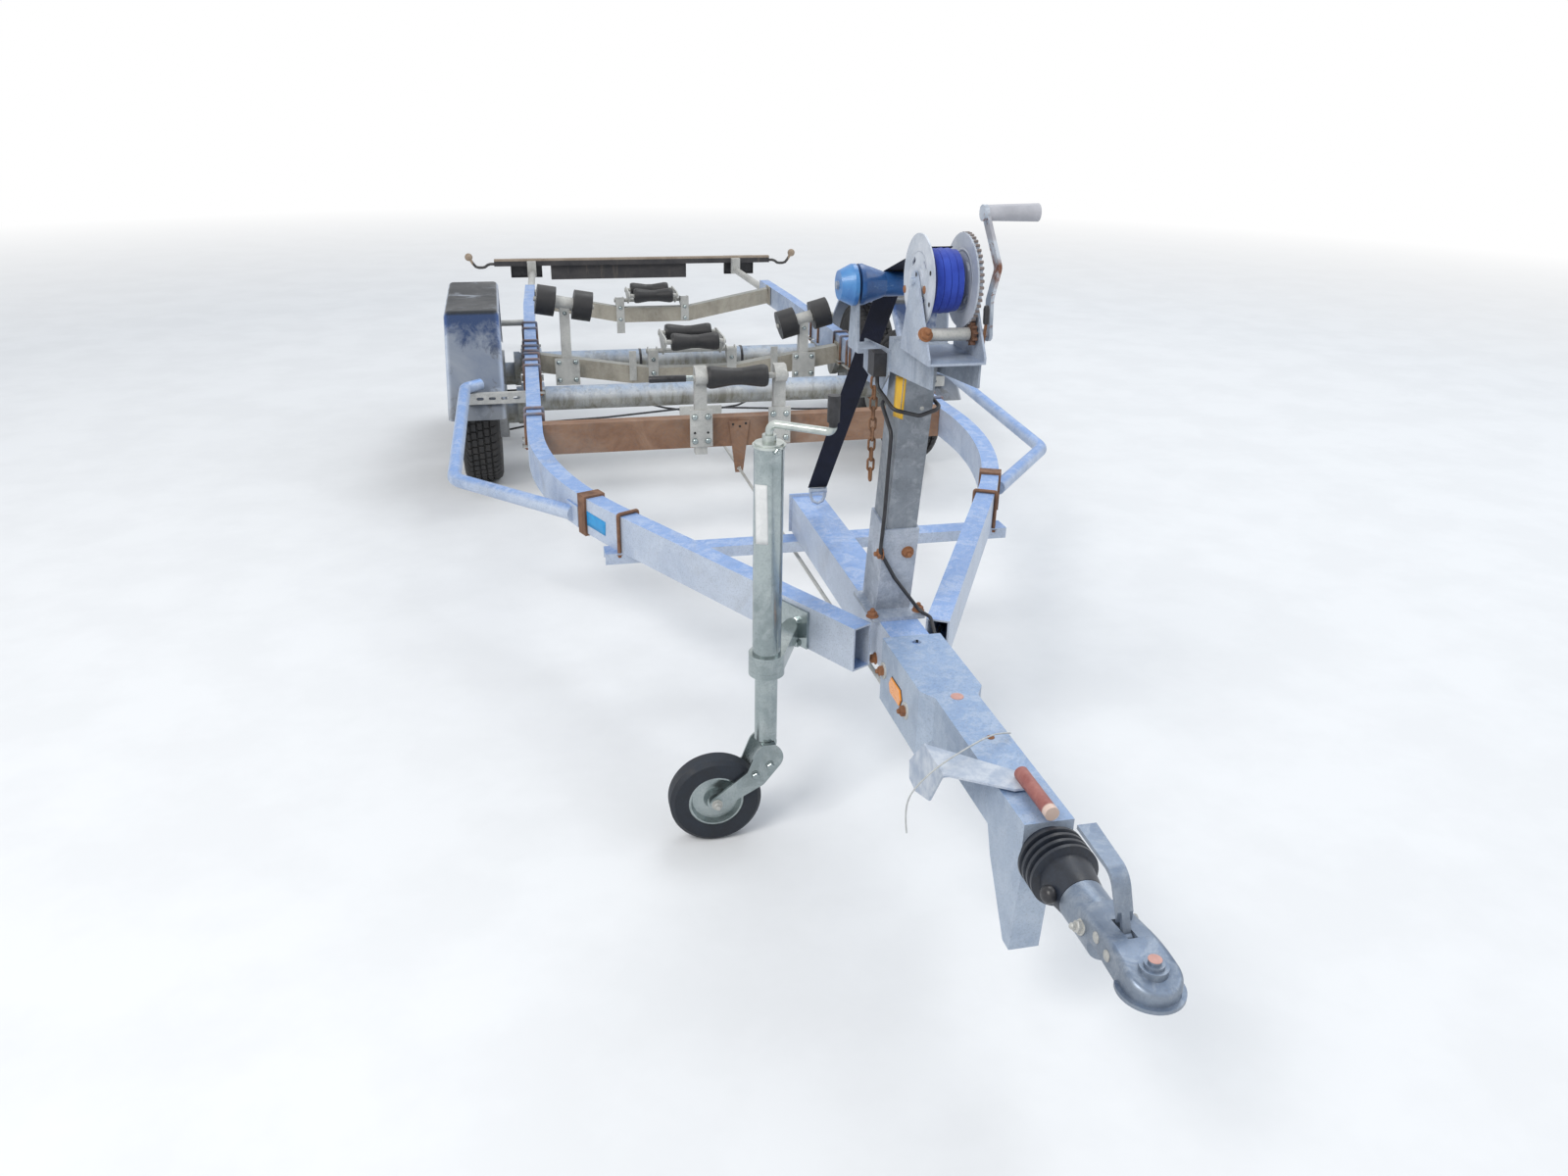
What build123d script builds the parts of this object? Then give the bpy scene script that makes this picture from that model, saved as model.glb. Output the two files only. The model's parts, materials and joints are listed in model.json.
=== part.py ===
from build123d import *
from math import acos, atan2, cos, degrees, hypot, pi, radians, sin, sqrt, tan
import os

# A tandem-axle boat trailer with an overrun coupling, a jockey wheel, a winch post, keel rollers
# and side rollers. Millimetres. X runs across, Y runs from the coupling back to the lamps, Z is up
# and the floor is at Z = 0. Places along the trailer are given as distances behind the tow ball.

os.makedirs("parts", exist_ok=True)

# Overall reach, which sets where the origin lies
nose_ahead_of_ball = 47
board_behind_ball = 6190
board_depth = 32
lamp_depth = 30
rear_behind_ball = board_behind_ball + board_depth + lamp_depth
origin_behind_ball = (rear_behind_ball - nose_ahead_of_ball) / 2

# Clearances
seat = 0.2
running = 0.05
spin_gap = 1.0

# Frame rails
rail_height = 100
rail_width = 50
rail_wall = 4
rail_bottom = 385
rail_top = rail_bottom + rail_height
rail_mid = rail_bottom + rail_height / 2
rail_front = (83, 1072)
rail_shoulder = (714.5, 2245)
rail_waist = (660, 4900)
rail_back = (635.5, 5470)
rail_bend_radius = 1650
rail_easing_radius = 6000

# Tube in the middle of the drawbar
centre_tube_width = 84
centre_tube_front = 960
centre_tube_back = 1900
end_plate_margin = 7
end_plate = 6

# Cross members
channel_width = 60
channel_lip = 30
channel_sheet = 4
channel_behind_ball = 1850
channel_half_length = 560
keel_beam_depth = 50
keel_beam_behind_ball = 2750

# V beams, each lower in the middle: distance behind the ball, top at the middle, top at the rails
v_beam_height = 75
v_beam_depth = 50
v_beam_flat_half = 175
v_beam_wall = 4
v_plate_overhang = (30, 20)
v_beams = {"middle": (3975, 372, 445), "rear": (5265, 393, 478)}

# Axles and wheels
axle_tube_radius = 47.5
axle_pad = 6
axle_pad_length = 130
axle_pad_width = 90
axles = {"front": 3660, "rear": 4300}
wheel_behind_axle = 55
tyre_radius = 275
tyre_width = 150
wheel_offset = 898
rim_radius = 152
rim_width = 118
rim_sheet = 5
hub_radius = 52
spindle_radius = 17
arm_sheet = 26
arm_margin = 4
arm_inner = 724
drum_radius = 105
drum_width = 45

# Mudguards: distances behind the ball and heights of the sheet's corners
guard_inner = 795
guard_width = 210
guard_sheet = 3
guard_lip = 28
guard_top = 680
guard_bottom = 345
guard_front_foot = 3330
guard_front_brow = 3680
guard_rear_brow = 4385
guard_rear_foot = 4735
guard_bend = 45

# Tube guards ahead of the mudguards
step_radius = 21
step_bend = 45
step_bend_front = 90

# Overrun coupling
ball_height = 455
ball_radius = 25
socket_clearance = 0.6
drawtube_height = 438
drawtube_radius = 25
housing_sheet = 5
housing_rear_width = 124
housing_rear_back = 1000
housing_rear_bottom = 350
housing_front_width = 84
housing_front_end = 325
housing_front_bottom = 403
housing_top = rail_top + seat + housing_sheet

# Winch post
post_lean = 9.5
post_base_behind_ball = 1180
post_width = 65
post_depth = 88
post_wall = 4
socket_height = 205
socket_sheet = 5
base_plate = 8

# Winch
table_top = 1085
table_width = 92
table_front = 862
table_back = 1110
table_sheet = 4
drum_axis = (950, 1215)
pinion_axis = (899, 1130)
gear_teeth = 46
pinion_teeth = 10
pressure_angle = 20
gear_play = 0.5
flank_steps = 3
gear_tip = 2.1
gear_root = 4.0
pinion_tip = 3.2
pinion_root = 2.9
disc_radius = 82
disc_sheet = 3
drum_left = -50
drum_right = 33
crank_reach = 205

# Jockey wheel
jockey_x = -288
jockey_behind_ball = 1080
jockey_outer_radius = 30
jockey_inner_radius = 24
jockey_wall = 2.5
jockey_tube_top = 885
jockey_tube_bottom = 392
jockey_trail = 112
jockey_wheel_radius = 100
jockey_wheel_width = 50

# Rollers
keel_roller_radius = 37
keel_roller_waist = 28
keel_roller_length = 200
roller_pin = 10
side_roller_radius = 60
side_roller_width = 75


def behind(distance):
    """Y of a place given by its distance behind the tow ball."""
    return distance - origin_behind_ball


def rail_x(distance):
    """Half distance between the rails' centre lines on their straight runs behind the bend."""
    start, end = rail_shoulder, rail_waist
    if distance > rail_waist[1]:
        start, end = rail_waist, rail_back
    share = (distance - start[1]) / (end[1] - start[1])
    return start[0] + share * (end[0] - start[0])


def rail_inner(distance):
    """Largest half width that clears the rails' inner faces at this distance."""
    return rail_x(distance) - rail_width / 2 - seat


def gear_outline(teeth, pitch, tip, root, centre, phase):
    """Closed outline of an involute spur gear; phase is the direction of one tooth."""
    base = pitch * cos(radians(pressure_angle))
    at_pitch = tan(radians(pressure_angle)) - radians(pressure_angle)
    half_tooth = pi / (2 * teeth) - gear_play / (2 * pitch)
    flank = []
    for step in range(flank_steps + 1):
        radius = max(base, root) + (tip - max(base, root)) * step / flank_steps
        roll = acos(min(1, base / radius))
        flank.append((radius, half_tooth + at_pitch - (tan(roll) - roll)))
    if root < base:
        flank.insert(0, (root, flank[0][1]))
    points = []
    for tooth in range(teeth):
        middle = phase + 2 * pi * tooth / teeth
        for radius, half in flank:
            points.append((radius, middle - half))
        for radius, half in reversed(flank):
            points.append((radius, middle + half))
    return [(centre[0] + r * cos(a), centre[1] + r * sin(a)) for r, a in points]


def cord_radii(points, share, largest):
    """Bend radii for a cord laid along these points, set by its shorter run at each corner."""
    radii = []
    for before, corner, after in zip(points, points[1:], points[2:]):
        first = Vector(*corner) - Vector(*before)
        second = Vector(*after) - Vector(*corner)
        turn = radians(first.get_angle(second))
        reach = share * min(first.length, second.length)
        radii.append(min(largest, reach / tan(turn / 2)))
    return radii


sides = {"right": -1, "left": 1}
rail_lines = {}

# Rails: straight from the drawbar, one large bend, then slightly closing towards the back
for side, sign in sides.items():
    with BuildPart() as rail:
        with BuildLine() as rail_path:
            FilletPolyline(
                [
                    (sign * x, behind(distance), rail_mid)
                    for x, distance in (rail_front, rail_shoulder, rail_waist, rail_back)
                ],
                radius=[rail_bend_radius, rail_easing_radius],
            )
        rail_start = Plane(
            origin=rail_path.line @ 0, x_dir=(0, 0, 1), z_dir=rail_path.line % 0
        )
        with BuildSketch(rail_start):
            Rectangle(rail_height, rail_width)
        sweep()
        with BuildSketch(rail_start):
            Rectangle(rail_height - 2 * rail_wall, rail_width - 2 * rail_wall)
        sweep(path=rail_path.line, mode=Mode.SUBTRACT)
    rail_lines[side] = rail_path.wire()
    rail.part.label = f"{side}_rail"
    export_step(rail.part, f"parts/{side}_rail.step")

# Tube in the middle of the drawbar, with the strap's eye at its back end
with BuildPart() as centre_tube:
    tube_mouth = Plane.XZ.offset(-behind(centre_tube_front))
    tube_run = centre_tube_back - centre_tube_front
    with BuildSketch(tube_mouth):
        with Locations((0, rail_mid)):
            Rectangle(centre_tube_width, rail_height)
    extrude(amount=-tube_run)
    with BuildSketch(tube_mouth):
        with Locations((0, rail_mid)):
            Rectangle(centre_tube_width - 2 * rail_wall, rail_height - 2 * rail_wall)
    extrude(amount=-tube_run, mode=Mode.SUBTRACT)
    with Locations((0, behind(centre_tube_back), rail_bottom + seat)):
        Box(
            centre_tube_width + 2 * end_plate_margin,
            end_plate,
            rail_height + end_plate_margin,
            align=(Align.CENTER, Align.MIN, Align.MIN),
        )
centre_tube.part.label = "centre_tube"
export_step(centre_tube.part, "parts/centre_tube.step")

# Channel across under the rails and the middle tube
channel_top = rail_bottom
with BuildPart() as front_crossmember:
    with BuildSketch(Plane.YZ.offset(-channel_half_length)):
        with Locations((behind(channel_behind_ball), channel_top)):
            Rectangle(channel_width, channel_lip, align=(Align.CENTER, Align.MAX))
        with Locations((behind(channel_behind_ball), channel_top - channel_sheet)):
            Rectangle(
                channel_width - 2 * channel_sheet,
                channel_lip,
                align=(Align.CENTER, Align.MAX),
                mode=Mode.SUBTRACT,
            )
    extrude(amount=2 * channel_half_length)
front_crossmember.part.label = "front_crossmember"
export_step(front_crossmember.part, "parts/front_crossmember.step")

# Flush cross beam between the rails, with the brake rod's hanging bracket
keel_beam_half = rail_inner(keel_beam_behind_ball + keel_beam_depth / 2)
keel_beam_front = behind(keel_beam_behind_ball) - keel_beam_depth / 2
bracket_sheet = 6
bracket_x = -32
bracket_top_width = 70
bracket_tip_width = 26
bracket_drop = 92
bracket_eye_radius = 7
bracket_eye_rise = 14
bracket_from_top = 12
with BuildPart() as keel_crossbeam:
    with BuildSketch(Plane.YZ.offset(-keel_beam_half)):
        with Locations((behind(keel_beam_behind_ball), rail_mid)):
            Rectangle(keel_beam_depth, rail_height)
            Rectangle(
                keel_beam_depth - 2 * rail_wall,
                rail_height - 2 * rail_wall,
                mode=Mode.SUBTRACT,
            )
    extrude(amount=2 * keel_beam_half)
    with BuildSketch(Plane.XZ.offset(-keel_beam_front)):
        with BuildLine():
            Polyline(
                (bracket_x - bracket_top_width / 2, rail_top - bracket_from_top),
                (bracket_x + bracket_top_width / 2, rail_top - bracket_from_top),
                (bracket_x + bracket_tip_width / 2, rail_bottom - bracket_drop),
                (bracket_x - bracket_tip_width / 2, rail_bottom - bracket_drop),
                close=True,
            )
        make_face()
        with Locations((bracket_x, rail_bottom - bracket_drop + bracket_eye_rise)):
            Circle(bracket_eye_radius, mode=Mode.SUBTRACT)
    extrude(amount=bracket_sheet)
keel_crossbeam.part.label = "keel_crossbeam"
export_step(keel_crossbeam.part, "parts/keel_crossbeam.step")

# V beams between the rails, each with an end plate against the rail
for place, (distance, middle_top, end_top) in v_beams.items():
    beam_half = rail_inner(distance + v_beam_depth) - end_plate
    half_height = v_beam_height / 2
    with BuildPart() as v_beam:
        with BuildLine(Plane.XZ.offset(-behind(distance))) as v_path:
            Polyline(
                (-beam_half, end_top - half_height),
                (-v_beam_flat_half, middle_top - half_height),
                (v_beam_flat_half, middle_top - half_height),
                (beam_half, end_top - half_height),
            )
        v_start = Plane(
            origin=v_path.line @ 0, x_dir=(0, 1, 0), z_dir=v_path.line % 0
        )
        with BuildSketch(v_start):
            Rectangle(v_beam_depth, v_beam_height)
            Rectangle(
                v_beam_depth - 2 * v_beam_wall,
                v_beam_height - 2 * v_beam_wall,
                mode=Mode.SUBTRACT,
            )
        sweep(transition=Transition.RIGHT)
        split(bisect_by=Plane.YZ.offset(beam_half), keep=Keep.BOTTOM)
        split(bisect_by=Plane.YZ.offset(-beam_half), keep=Keep.TOP)
        for sign in sides.values():
            with Locations((sign * beam_half, behind(distance), end_top - half_height)):
                Box(
                    end_plate,
                    v_beam_depth + v_plate_overhang[0],
                    v_beam_height + v_plate_overhang[1],
                    align=(Align.MIN if sign > 0 else Align.MAX, Align.CENTER, Align.CENTER),
                )
    v_beam.part.label = f"{place}_v_beam"
    export_step(v_beam.part, f"parts/{place}_v_beam.step")

# Axles: a tube under the rails with pads, and a short trailing arm to each wheel
axle_sink = 1.5
axle_height = rail_bottom - axle_pad - axle_tube_radius + axle_sink
arm_outer = arm_inner + arm_sheet
boss_radius = 50
boss_length = 40
boss_outer = arm_outer + boss_length
backplate_sheet = 3
spindle_setback = 18
spindle_end = wheel_offset - spindle_setback
for place, distance in axles.items():
    wheel_y = behind(distance + wheel_behind_axle)
    pad_x = rail_x(distance)
    with BuildPart() as axle:
        with BuildSketch(Plane.YZ.offset(-arm_inner)):
            with Locations((behind(distance), axle_height)):
                Circle(axle_tube_radius)
        extrude(amount=2 * arm_inner)
        for sign in sides.values():
            with Locations((sign * pad_x, behind(distance), rail_bottom)):
                Box(
                    axle_pad_width,
                    axle_pad_length,
                    axle_pad,
                    align=(Align.CENTER, Align.CENTER, Align.MAX),
                )
            for edge in (-1, 1):
                with Locations(
                    (
                        sign * pad_x + edge * (axle_pad_width - axle_pad) / 2,
                        behind(distance),
                        rail_bottom - axle_pad,
                    )
                ):
                    Box(
                        axle_pad,
                        axle_pad_length,
                        axle_tube_radius,
                        align=(Align.CENTER, Align.CENTER, Align.MAX),
                    )
            arm_plane = Plane(
                origin=(sign * arm_inner, 0, 0), x_dir=(0, sign, 0), z_dir=(sign, 0, 0)
            )
            with BuildSketch(arm_plane):
                with Locations((sign * behind(distance), axle_height)):
                    Circle(axle_tube_radius + arm_margin)
                with Locations((sign * wheel_y, tyre_radius)):
                    Circle(boss_radius + arm_margin)
                make_hull()
            extrude(amount=arm_sheet)
            with BuildSketch(arm_plane.offset(arm_sheet)):
                with Locations((sign * wheel_y, tyre_radius)):
                    Circle(boss_radius)
            extrude(amount=boss_outer - arm_outer)
            with BuildSketch(arm_plane.offset(boss_outer - arm_inner)):
                with Locations((sign * wheel_y, tyre_radius)):
                    Circle(drum_radius)
            extrude(amount=backplate_sheet)
            with BuildSketch(arm_plane.offset(boss_outer - arm_inner)):
                with Locations((sign * wheel_y, tyre_radius)):
                    Circle(spindle_radius)
            extrude(amount=spindle_end - boss_outer)
    axle.part.label = f"{place}_axle"
    export_step(axle.part, f"parts/{place}_axle.step")

# Wheels: rim with its disc and brake drum, and the tyre
drum_inner = boss_outer + backplate_sheet + spin_gap
disc_outer = wheel_offset + 12
hub_cap_length = 34
lip_height = 9
stud_count = 4
stud_circle = 49
stud_radius = 7
tyre_bead = rim_radius + seat
tread_half = tyre_width / 2 - 16
for side, sign in sides.items():
    for place, distance in axles.items():
        wheel_y = behind(distance + wheel_behind_axle)
        hub = Plane(
            origin=(0, wheel_y, tyre_radius), x_dir=(0, 0, 1), z_dir=(sign, 0, 0)
        )
        # In the profile's plane the first coordinate is the radius, the second runs outboard
        profile_plane = Plane(
            origin=(0, wheel_y, tyre_radius), x_dir=(0, 0, 1), z_dir=(0, sign, 0)
        )
        wheel_axis = Axis((0, wheel_y, tyre_radius), (1, 0, 0))
        inner_edge = wheel_offset - rim_width / 2
        outer_edge = wheel_offset + rim_width / 2
        with BuildPart() as rim:
            with BuildSketch(profile_plane):
                with BuildLine():
                    Polyline(
                        (rim_radius - rim_sheet, inner_edge),
                        (rim_radius + lip_height, inner_edge),
                        (rim_radius + lip_height, inner_edge + rim_sheet),
                        (rim_radius, inner_edge + rim_sheet),
                        (rim_radius, outer_edge - rim_sheet),
                        (rim_radius + lip_height, outer_edge - rim_sheet),
                        (rim_radius + lip_height, outer_edge),
                        (rim_radius - rim_sheet, outer_edge),
                        (rim_radius - rim_sheet, disc_outer),
                        (rim_radius - 38, disc_outer + 10),
                        (hub_radius + 14, disc_outer),
                        (hub_radius, disc_outer),
                        (hub_radius - 20, disc_outer + 5),
                        (hub_radius - 22, disc_outer + hub_cap_length),
                        (0, disc_outer + hub_cap_length + 5),
                        (0, spindle_end + spin_gap),
                        (spindle_radius + running, spindle_end + spin_gap),
                        (spindle_radius + running, drum_inner),
                        (drum_radius, drum_inner),
                        (drum_radius, drum_inner + drum_width),
                        (hub_radius, drum_inner + drum_width),
                        (hub_radius, disc_outer - rim_sheet),
                        (hub_radius + 14, disc_outer - rim_sheet),
                        (rim_radius - 38, disc_outer + 10 - rim_sheet),
                        (rim_radius - rim_sheet, disc_outer - rim_sheet),
                        close=True,
                    )
                make_face()
            revolve(axis=wheel_axis)
        rim.part.label = f"{side}_{place}_rim"
        export_step(rim.part, f"parts/{side}_{place}_rim.step")

        with BuildPart() as tyre:
            with BuildSketch(profile_plane):
                with BuildLine():
                    Polyline(
                        (tyre_bead, inner_edge + rim_sheet + seat),
                        (tyre_bead + 14, inner_edge + rim_sheet + seat),
                        (tyre_radius - 62, wheel_offset - tyre_width / 2),
                        (tyre_radius - 30, wheel_offset - tyre_width / 2 + 1),
                        (tyre_radius - 6, wheel_offset - tread_half),
                        (tyre_radius, wheel_offset - tread_half + 14),
                        (tyre_radius, wheel_offset + tread_half - 14),
                        (tyre_radius - 6, wheel_offset + tread_half),
                        (tyre_radius - 30, wheel_offset + tyre_width / 2 - 1),
                        (tyre_radius - 62, wheel_offset + tyre_width / 2),
                        (tyre_bead + 14, outer_edge - rim_sheet - seat),
                        (tyre_bead, outer_edge - rim_sheet - seat),
                        close=True,
                    )
                make_face()
            revolve(axis=wheel_axis)
        tyre.part.label = f"{side}_{place}_tyre"
        export_step(tyre.part, f"parts/{side}_{place}_tyre.step")

# Mudguards: one moulded channel over both wheels, its long edges rounded and turned down
guard_slope = atan2(guard_top - guard_bottom, guard_front_brow - guard_front_foot)
guard_round = 20
guard_middle = guard_inner + guard_width / 2
foot_run_out = 2 * guard_lip
foot_shift = foot_run_out / tan(guard_slope)
guard_corners = (
    (guard_front_foot - foot_shift, guard_bottom - foot_run_out),
    (guard_front_brow, guard_top),
    (guard_rear_brow, guard_top),
    (guard_rear_foot + foot_shift, guard_bottom - foot_run_out),
)
guard_web_half = (guard_width - guard_sheet) / 2
for side, sign in sides.items():
    with BuildPart() as mudguard:
        with BuildLine() as guard_line:
            FilletPolyline(
                [(sign * guard_middle, behind(d), z) for d, z in guard_corners],
                radius=[guard_bend, guard_bend],
            )
        guard_start = Plane(
            origin=guard_line.line @ 0, x_dir=(1, 0, 0), z_dir=guard_line.line % 0
        )
        with BuildSketch(guard_start):
            with BuildLine() as guard_section:
                FilletPolyline(
                    (-guard_web_half, guard_lip),
                    (-guard_web_half, 0),
                    (guard_web_half, 0),
                    (guard_web_half, guard_lip),
                    radius=[guard_round, guard_round],
                )
            trace(guard_section.line, line_width=guard_sheet)
        sweep(path=guard_line.line)
        split(bisect_by=Plane.XY.offset(guard_bottom), keep=Keep.TOP)
    mudguard.part.label = f"{side}_mudguard"
    export_step(mudguard.part, f"parts/{side}_mudguard.step")

# Mudguard brackets: a slotted channel ahead of the sheet and a round bar behind the wheels
strut_height = 41
strut_depth = 21
strut_sheet = 2.5
strut_bottom = 397
strut_outer = 930
strut_slot = (26, 11)
strut_slots = 4
strut_pitch = 44
strut_rise = (strut_bottom - guard_bottom) / tan(guard_slope)
strut_back = guard_front_foot + strut_rise - guard_sheet / sin(guard_slope) - seat
stay_radius = 14
stay_height = 455
stay_setback = (stay_radius + guard_sheet / 2 + seat) / sin(guard_slope)
stay_behind_ball = (
    guard_rear_foot - (stay_height - guard_bottom) / tan(guard_slope) - stay_setback
)
with BuildPart() as mudguard_brackets:
    for sign in sides.values():
        strut_inner = rail_x(strut_back - strut_depth) + rail_width / 2 + 2 * seat
        with BuildSketch(Plane.YZ.offset(sign * strut_inner)):
            with Locations((behind(strut_back), strut_bottom)):
                Rectangle(strut_depth, strut_height, align=(Align.MAX, Align.MIN))
            with Locations((behind(strut_back), strut_bottom + strut_sheet)):
                Rectangle(
                    strut_depth - strut_sheet,
                    strut_height - 2 * strut_sheet,
                    align=(Align.MAX, Align.MIN),
                    mode=Mode.SUBTRACT,
                )
        extrude(amount=sign * (strut_outer - strut_inner))
        with BuildSketch(Plane.XZ.offset(-behind(strut_back - strut_depth))):
            for n in range(strut_slots):
                slot_x = sign * (strut_inner + 36 + n * strut_pitch)
                with Locations((slot_x, strut_bottom + strut_height / 2)):
                    SlotOverall(*strut_slot)
        extrude(amount=-strut_sheet - 1, mode=Mode.SUBTRACT)
        stay_inner = rail_x(stay_behind_ball - stay_radius) + rail_width / 2 + 2 * seat
        with BuildSketch(Plane.YZ.offset(sign * stay_inner)):
            with Locations((behind(stay_behind_ball), stay_height)):
                Circle(stay_radius)
        extrude(amount=sign * (guard_inner - seat - stay_inner))
mudguard_brackets.part.label = "mudguard_brackets"
export_step(mudguard_brackets.part, "parts/mudguard_brackets.step")

# Tube guards: from a foot on each rail's outer face, out and back to the mudguard's front sheet
step_foot_along = 1118
step_foot_plate = (70, 60, 6)
step_end_height = 462
step_end_x = 880
step_gap = 2
step_end_setback = 12
step_foot_drop = 14
step_back = guard_front_foot + (step_end_height - guard_bottom) / tan(guard_slope)
step_back -= (step_radius + guard_sheet / 2 + step_gap) / sin(guard_slope)
step_corners = ((958, 2474, 400), (936, 3360, 460))
step_end = (step_end_x, step_back - step_end_setback, step_end_height)
with BuildPart() as guard_tubes:
    for side, sign in sides.items():
        foot_point = rail_lines[side].position_at(
            step_foot_along, position_mode=PositionMode.LENGTH
        )
        foot_run = rail_lines[side].tangent_at(
            step_foot_along, position_mode=PositionMode.LENGTH
        )
        outward = Vector(foot_run.Y, -foot_run.X, 0) * sign
        foot_plane = Plane(
            origin=foot_point
            + outward * (rail_width / 2 + 2 * seat)
            + Vector(0, 0, -step_foot_drop),
            x_dir=foot_run,
            z_dir=outward,
        )
        with BuildSketch(foot_plane):
            Rectangle(step_foot_plate[0], step_foot_plate[1])
        extrude(amount=step_foot_plate[2])
        with BuildLine() as step_path:
            FilletPolyline(
                [foot_plane.origin + outward * step_foot_plate[2] / 2]
                + [(sign * x, behind(d), z) for x, d, z in step_corners + (step_end,)],
                radius=[step_bend_front, step_bend],
            )
        with BuildSketch(Plane(origin=step_path.line @ 0, z_dir=step_path.line % 0)):
            Circle(step_radius)
        sweep(path=step_path.line)
        with BuildSketch(foot_plane):
            Rectangle(16 * step_radius, 4 * step_radius)
        extrude(amount=-2 * step_radius, mode=Mode.SUBTRACT)
guard_tubes.part.label = "guard_tubes"
export_step(guard_tubes.part, "parts/guard_tubes.step")

# Overrun coupling: a folded housing, wide where it takes the rails and narrow at the front
housing_neck = (735, 768)
housing_mouth_block = 40
housing_hole = (968, 9)
foot_front_width = 54
foot_low = 215
foot_profile = ((345, 403), (500, 403), (468, 330), (386, 215), (360, 215))
foot_sheet = 4
lever_pivot = (612, 415)
lever_boss_radius = 14
lever_side_x = -122
lever_sheet = 4

def housing_block(margin):
    """Solid of the housing's outline, each face moved inward by margin but for its two ends."""
    half_front = housing_front_width / 2 - margin
    half_rear = housing_rear_width / 2 - margin
    with BuildPart() as block:
        with BuildSketch(Plane.XY.offset(housing_rear_bottom)):
            with BuildLine():
                Polyline(
                    (-half_front, behind(housing_front_end)),
                    (half_front, behind(housing_front_end)),
                    (half_front, behind(housing_neck[0])),
                    (half_rear, behind(housing_neck[1])),
                    (half_rear, behind(housing_rear_back)),
                    (-half_rear, behind(housing_rear_back)),
                    (-half_rear, behind(housing_neck[1])),
                    (-half_front, behind(housing_neck[0])),
                    close=True,
                )
            make_face()
        extrude(amount=housing_top - housing_rear_bottom)
        with BuildSketch(Plane.YZ.offset(-housing_rear_width)):
            with BuildLine():
                Polyline(
                    (behind(housing_front_end), housing_front_bottom + margin),
                    (behind(housing_front_end), housing_top - margin),
                    (behind(housing_rear_back), housing_top - margin),
                    (behind(housing_rear_back), housing_rear_bottom + margin),
                    (behind(housing_neck[1]), housing_rear_bottom + margin),
                    (behind(housing_neck[0]), housing_front_bottom + margin),
                    close=True,
                )
            make_face()
        extrude(amount=2 * housing_rear_width, mode=Mode.INTERSECT)
    return block.part


with BuildPart() as overrun_housing:
    add(housing_block(0))
    add(housing_block(housing_sheet), mode=Mode.SUBTRACT)
    # Bearing blocks for the draw tube
    for block_front in (housing_front_end, housing_neck[0] - housing_mouth_block):
        with BuildSketch(Plane.XZ.offset(-behind(block_front))):
            with Locations((0, (housing_front_bottom + housing_top) / 2)):
                Rectangle(
                    housing_front_width - housing_sheet,
                    housing_top - housing_front_bottom - housing_sheet,
                )
            with Locations((0, drawtube_height)):
                Circle(drawtube_radius + running, mode=Mode.SUBTRACT)
        extrude(amount=-housing_mouth_block)
    with Locations((0, behind(housing_hole[0]), housing_top - housing_sheet / 2)):
        Cylinder(housing_hole[1], 2 * housing_sheet, mode=Mode.SUBTRACT)
    # Folded foot under the front
    for foot_x in (-foot_front_width / 2, foot_front_width / 2 - foot_sheet):
        with BuildSketch(Plane.YZ.offset(foot_x)):
            with BuildLine():
                Polyline([(behind(d), z) for d, z in foot_profile], close=True)
            make_face()
        extrude(amount=foot_sheet)
    with BuildSketch(Plane.YZ.offset(-foot_front_width / 2)):
        with BuildLine():
            Polyline(
                (behind(foot_profile[0][0]), foot_profile[0][1]),
                (behind(foot_profile[0][0]) + foot_sheet, foot_profile[0][1]),
                (behind(foot_profile[-1][0]) + foot_sheet, foot_low),
                (behind(foot_profile[-1][0]), foot_low),
                close=True,
            )
        make_face()
    extrude(amount=foot_front_width)
    # Boss on the right side that carries the handbrake lever
    with BuildSketch(Plane.YZ.offset(-housing_front_width / 2 + housing_sheet)):
        with Locations((behind(lever_pivot[0]), lever_pivot[1])):
            Circle(lever_boss_radius)
    extrude(amount=lever_side_x + lever_sheet + seat + housing_front_width / 2 - housing_sheet)
overrun_housing.part.label = "overrun_housing"
export_step(overrun_housing.part, "parts/overrun_housing.step")

# Handbrake lever: a folded band from the boss over the housing, with a round grip ahead
lever_rise = 5.5
lever_band_bottom = housing_top + lever_rise
lever_band_top = lever_band_bottom + lever_sheet
lever_band = ((lever_side_x, 572), (8, 452), (8, 408), (-24, 408), (lever_side_x, 474))
lever_cheek = ((474, 0), (572, 0), (636, 427), (630, 394), (596, 388), (528, 412))
grip_radius = 12
grip_front = 320
grip_back = 441
grip_x = 0
stem_radius = 7
with BuildPart() as handbrake_lever:
    with BuildSketch(Plane.XY.offset(lever_band_bottom)):
        with BuildLine():
            Polyline([(x, behind(d)) for x, d in lever_band], close=True)
        make_face()
    extrude(amount=lever_sheet)
    with BuildSketch(Plane.YZ.offset(lever_side_x)):
        with BuildLine():
            Polyline(
                [(behind(d), z or lever_band_top) for d, z in lever_cheek], close=True
            )
        make_face()
    extrude(amount=lever_sheet)
    with BuildSketch(Plane.XZ.offset(-behind(grip_back))):
        with Locations((grip_x, lever_band_top)):
            Circle(stem_radius)
    extrude(amount=-stem_radius)
    with BuildSketch(Plane.XZ.offset(-behind(grip_front))):
        with Locations((grip_x, lever_band_bottom + grip_radius)):
            Circle(grip_radius)
    extrude(amount=grip_front - grip_back)
handbrake_lever.part.label = "handbrake_lever"
export_step(handbrake_lever.part, "parts/handbrake_lever.step")

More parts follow.
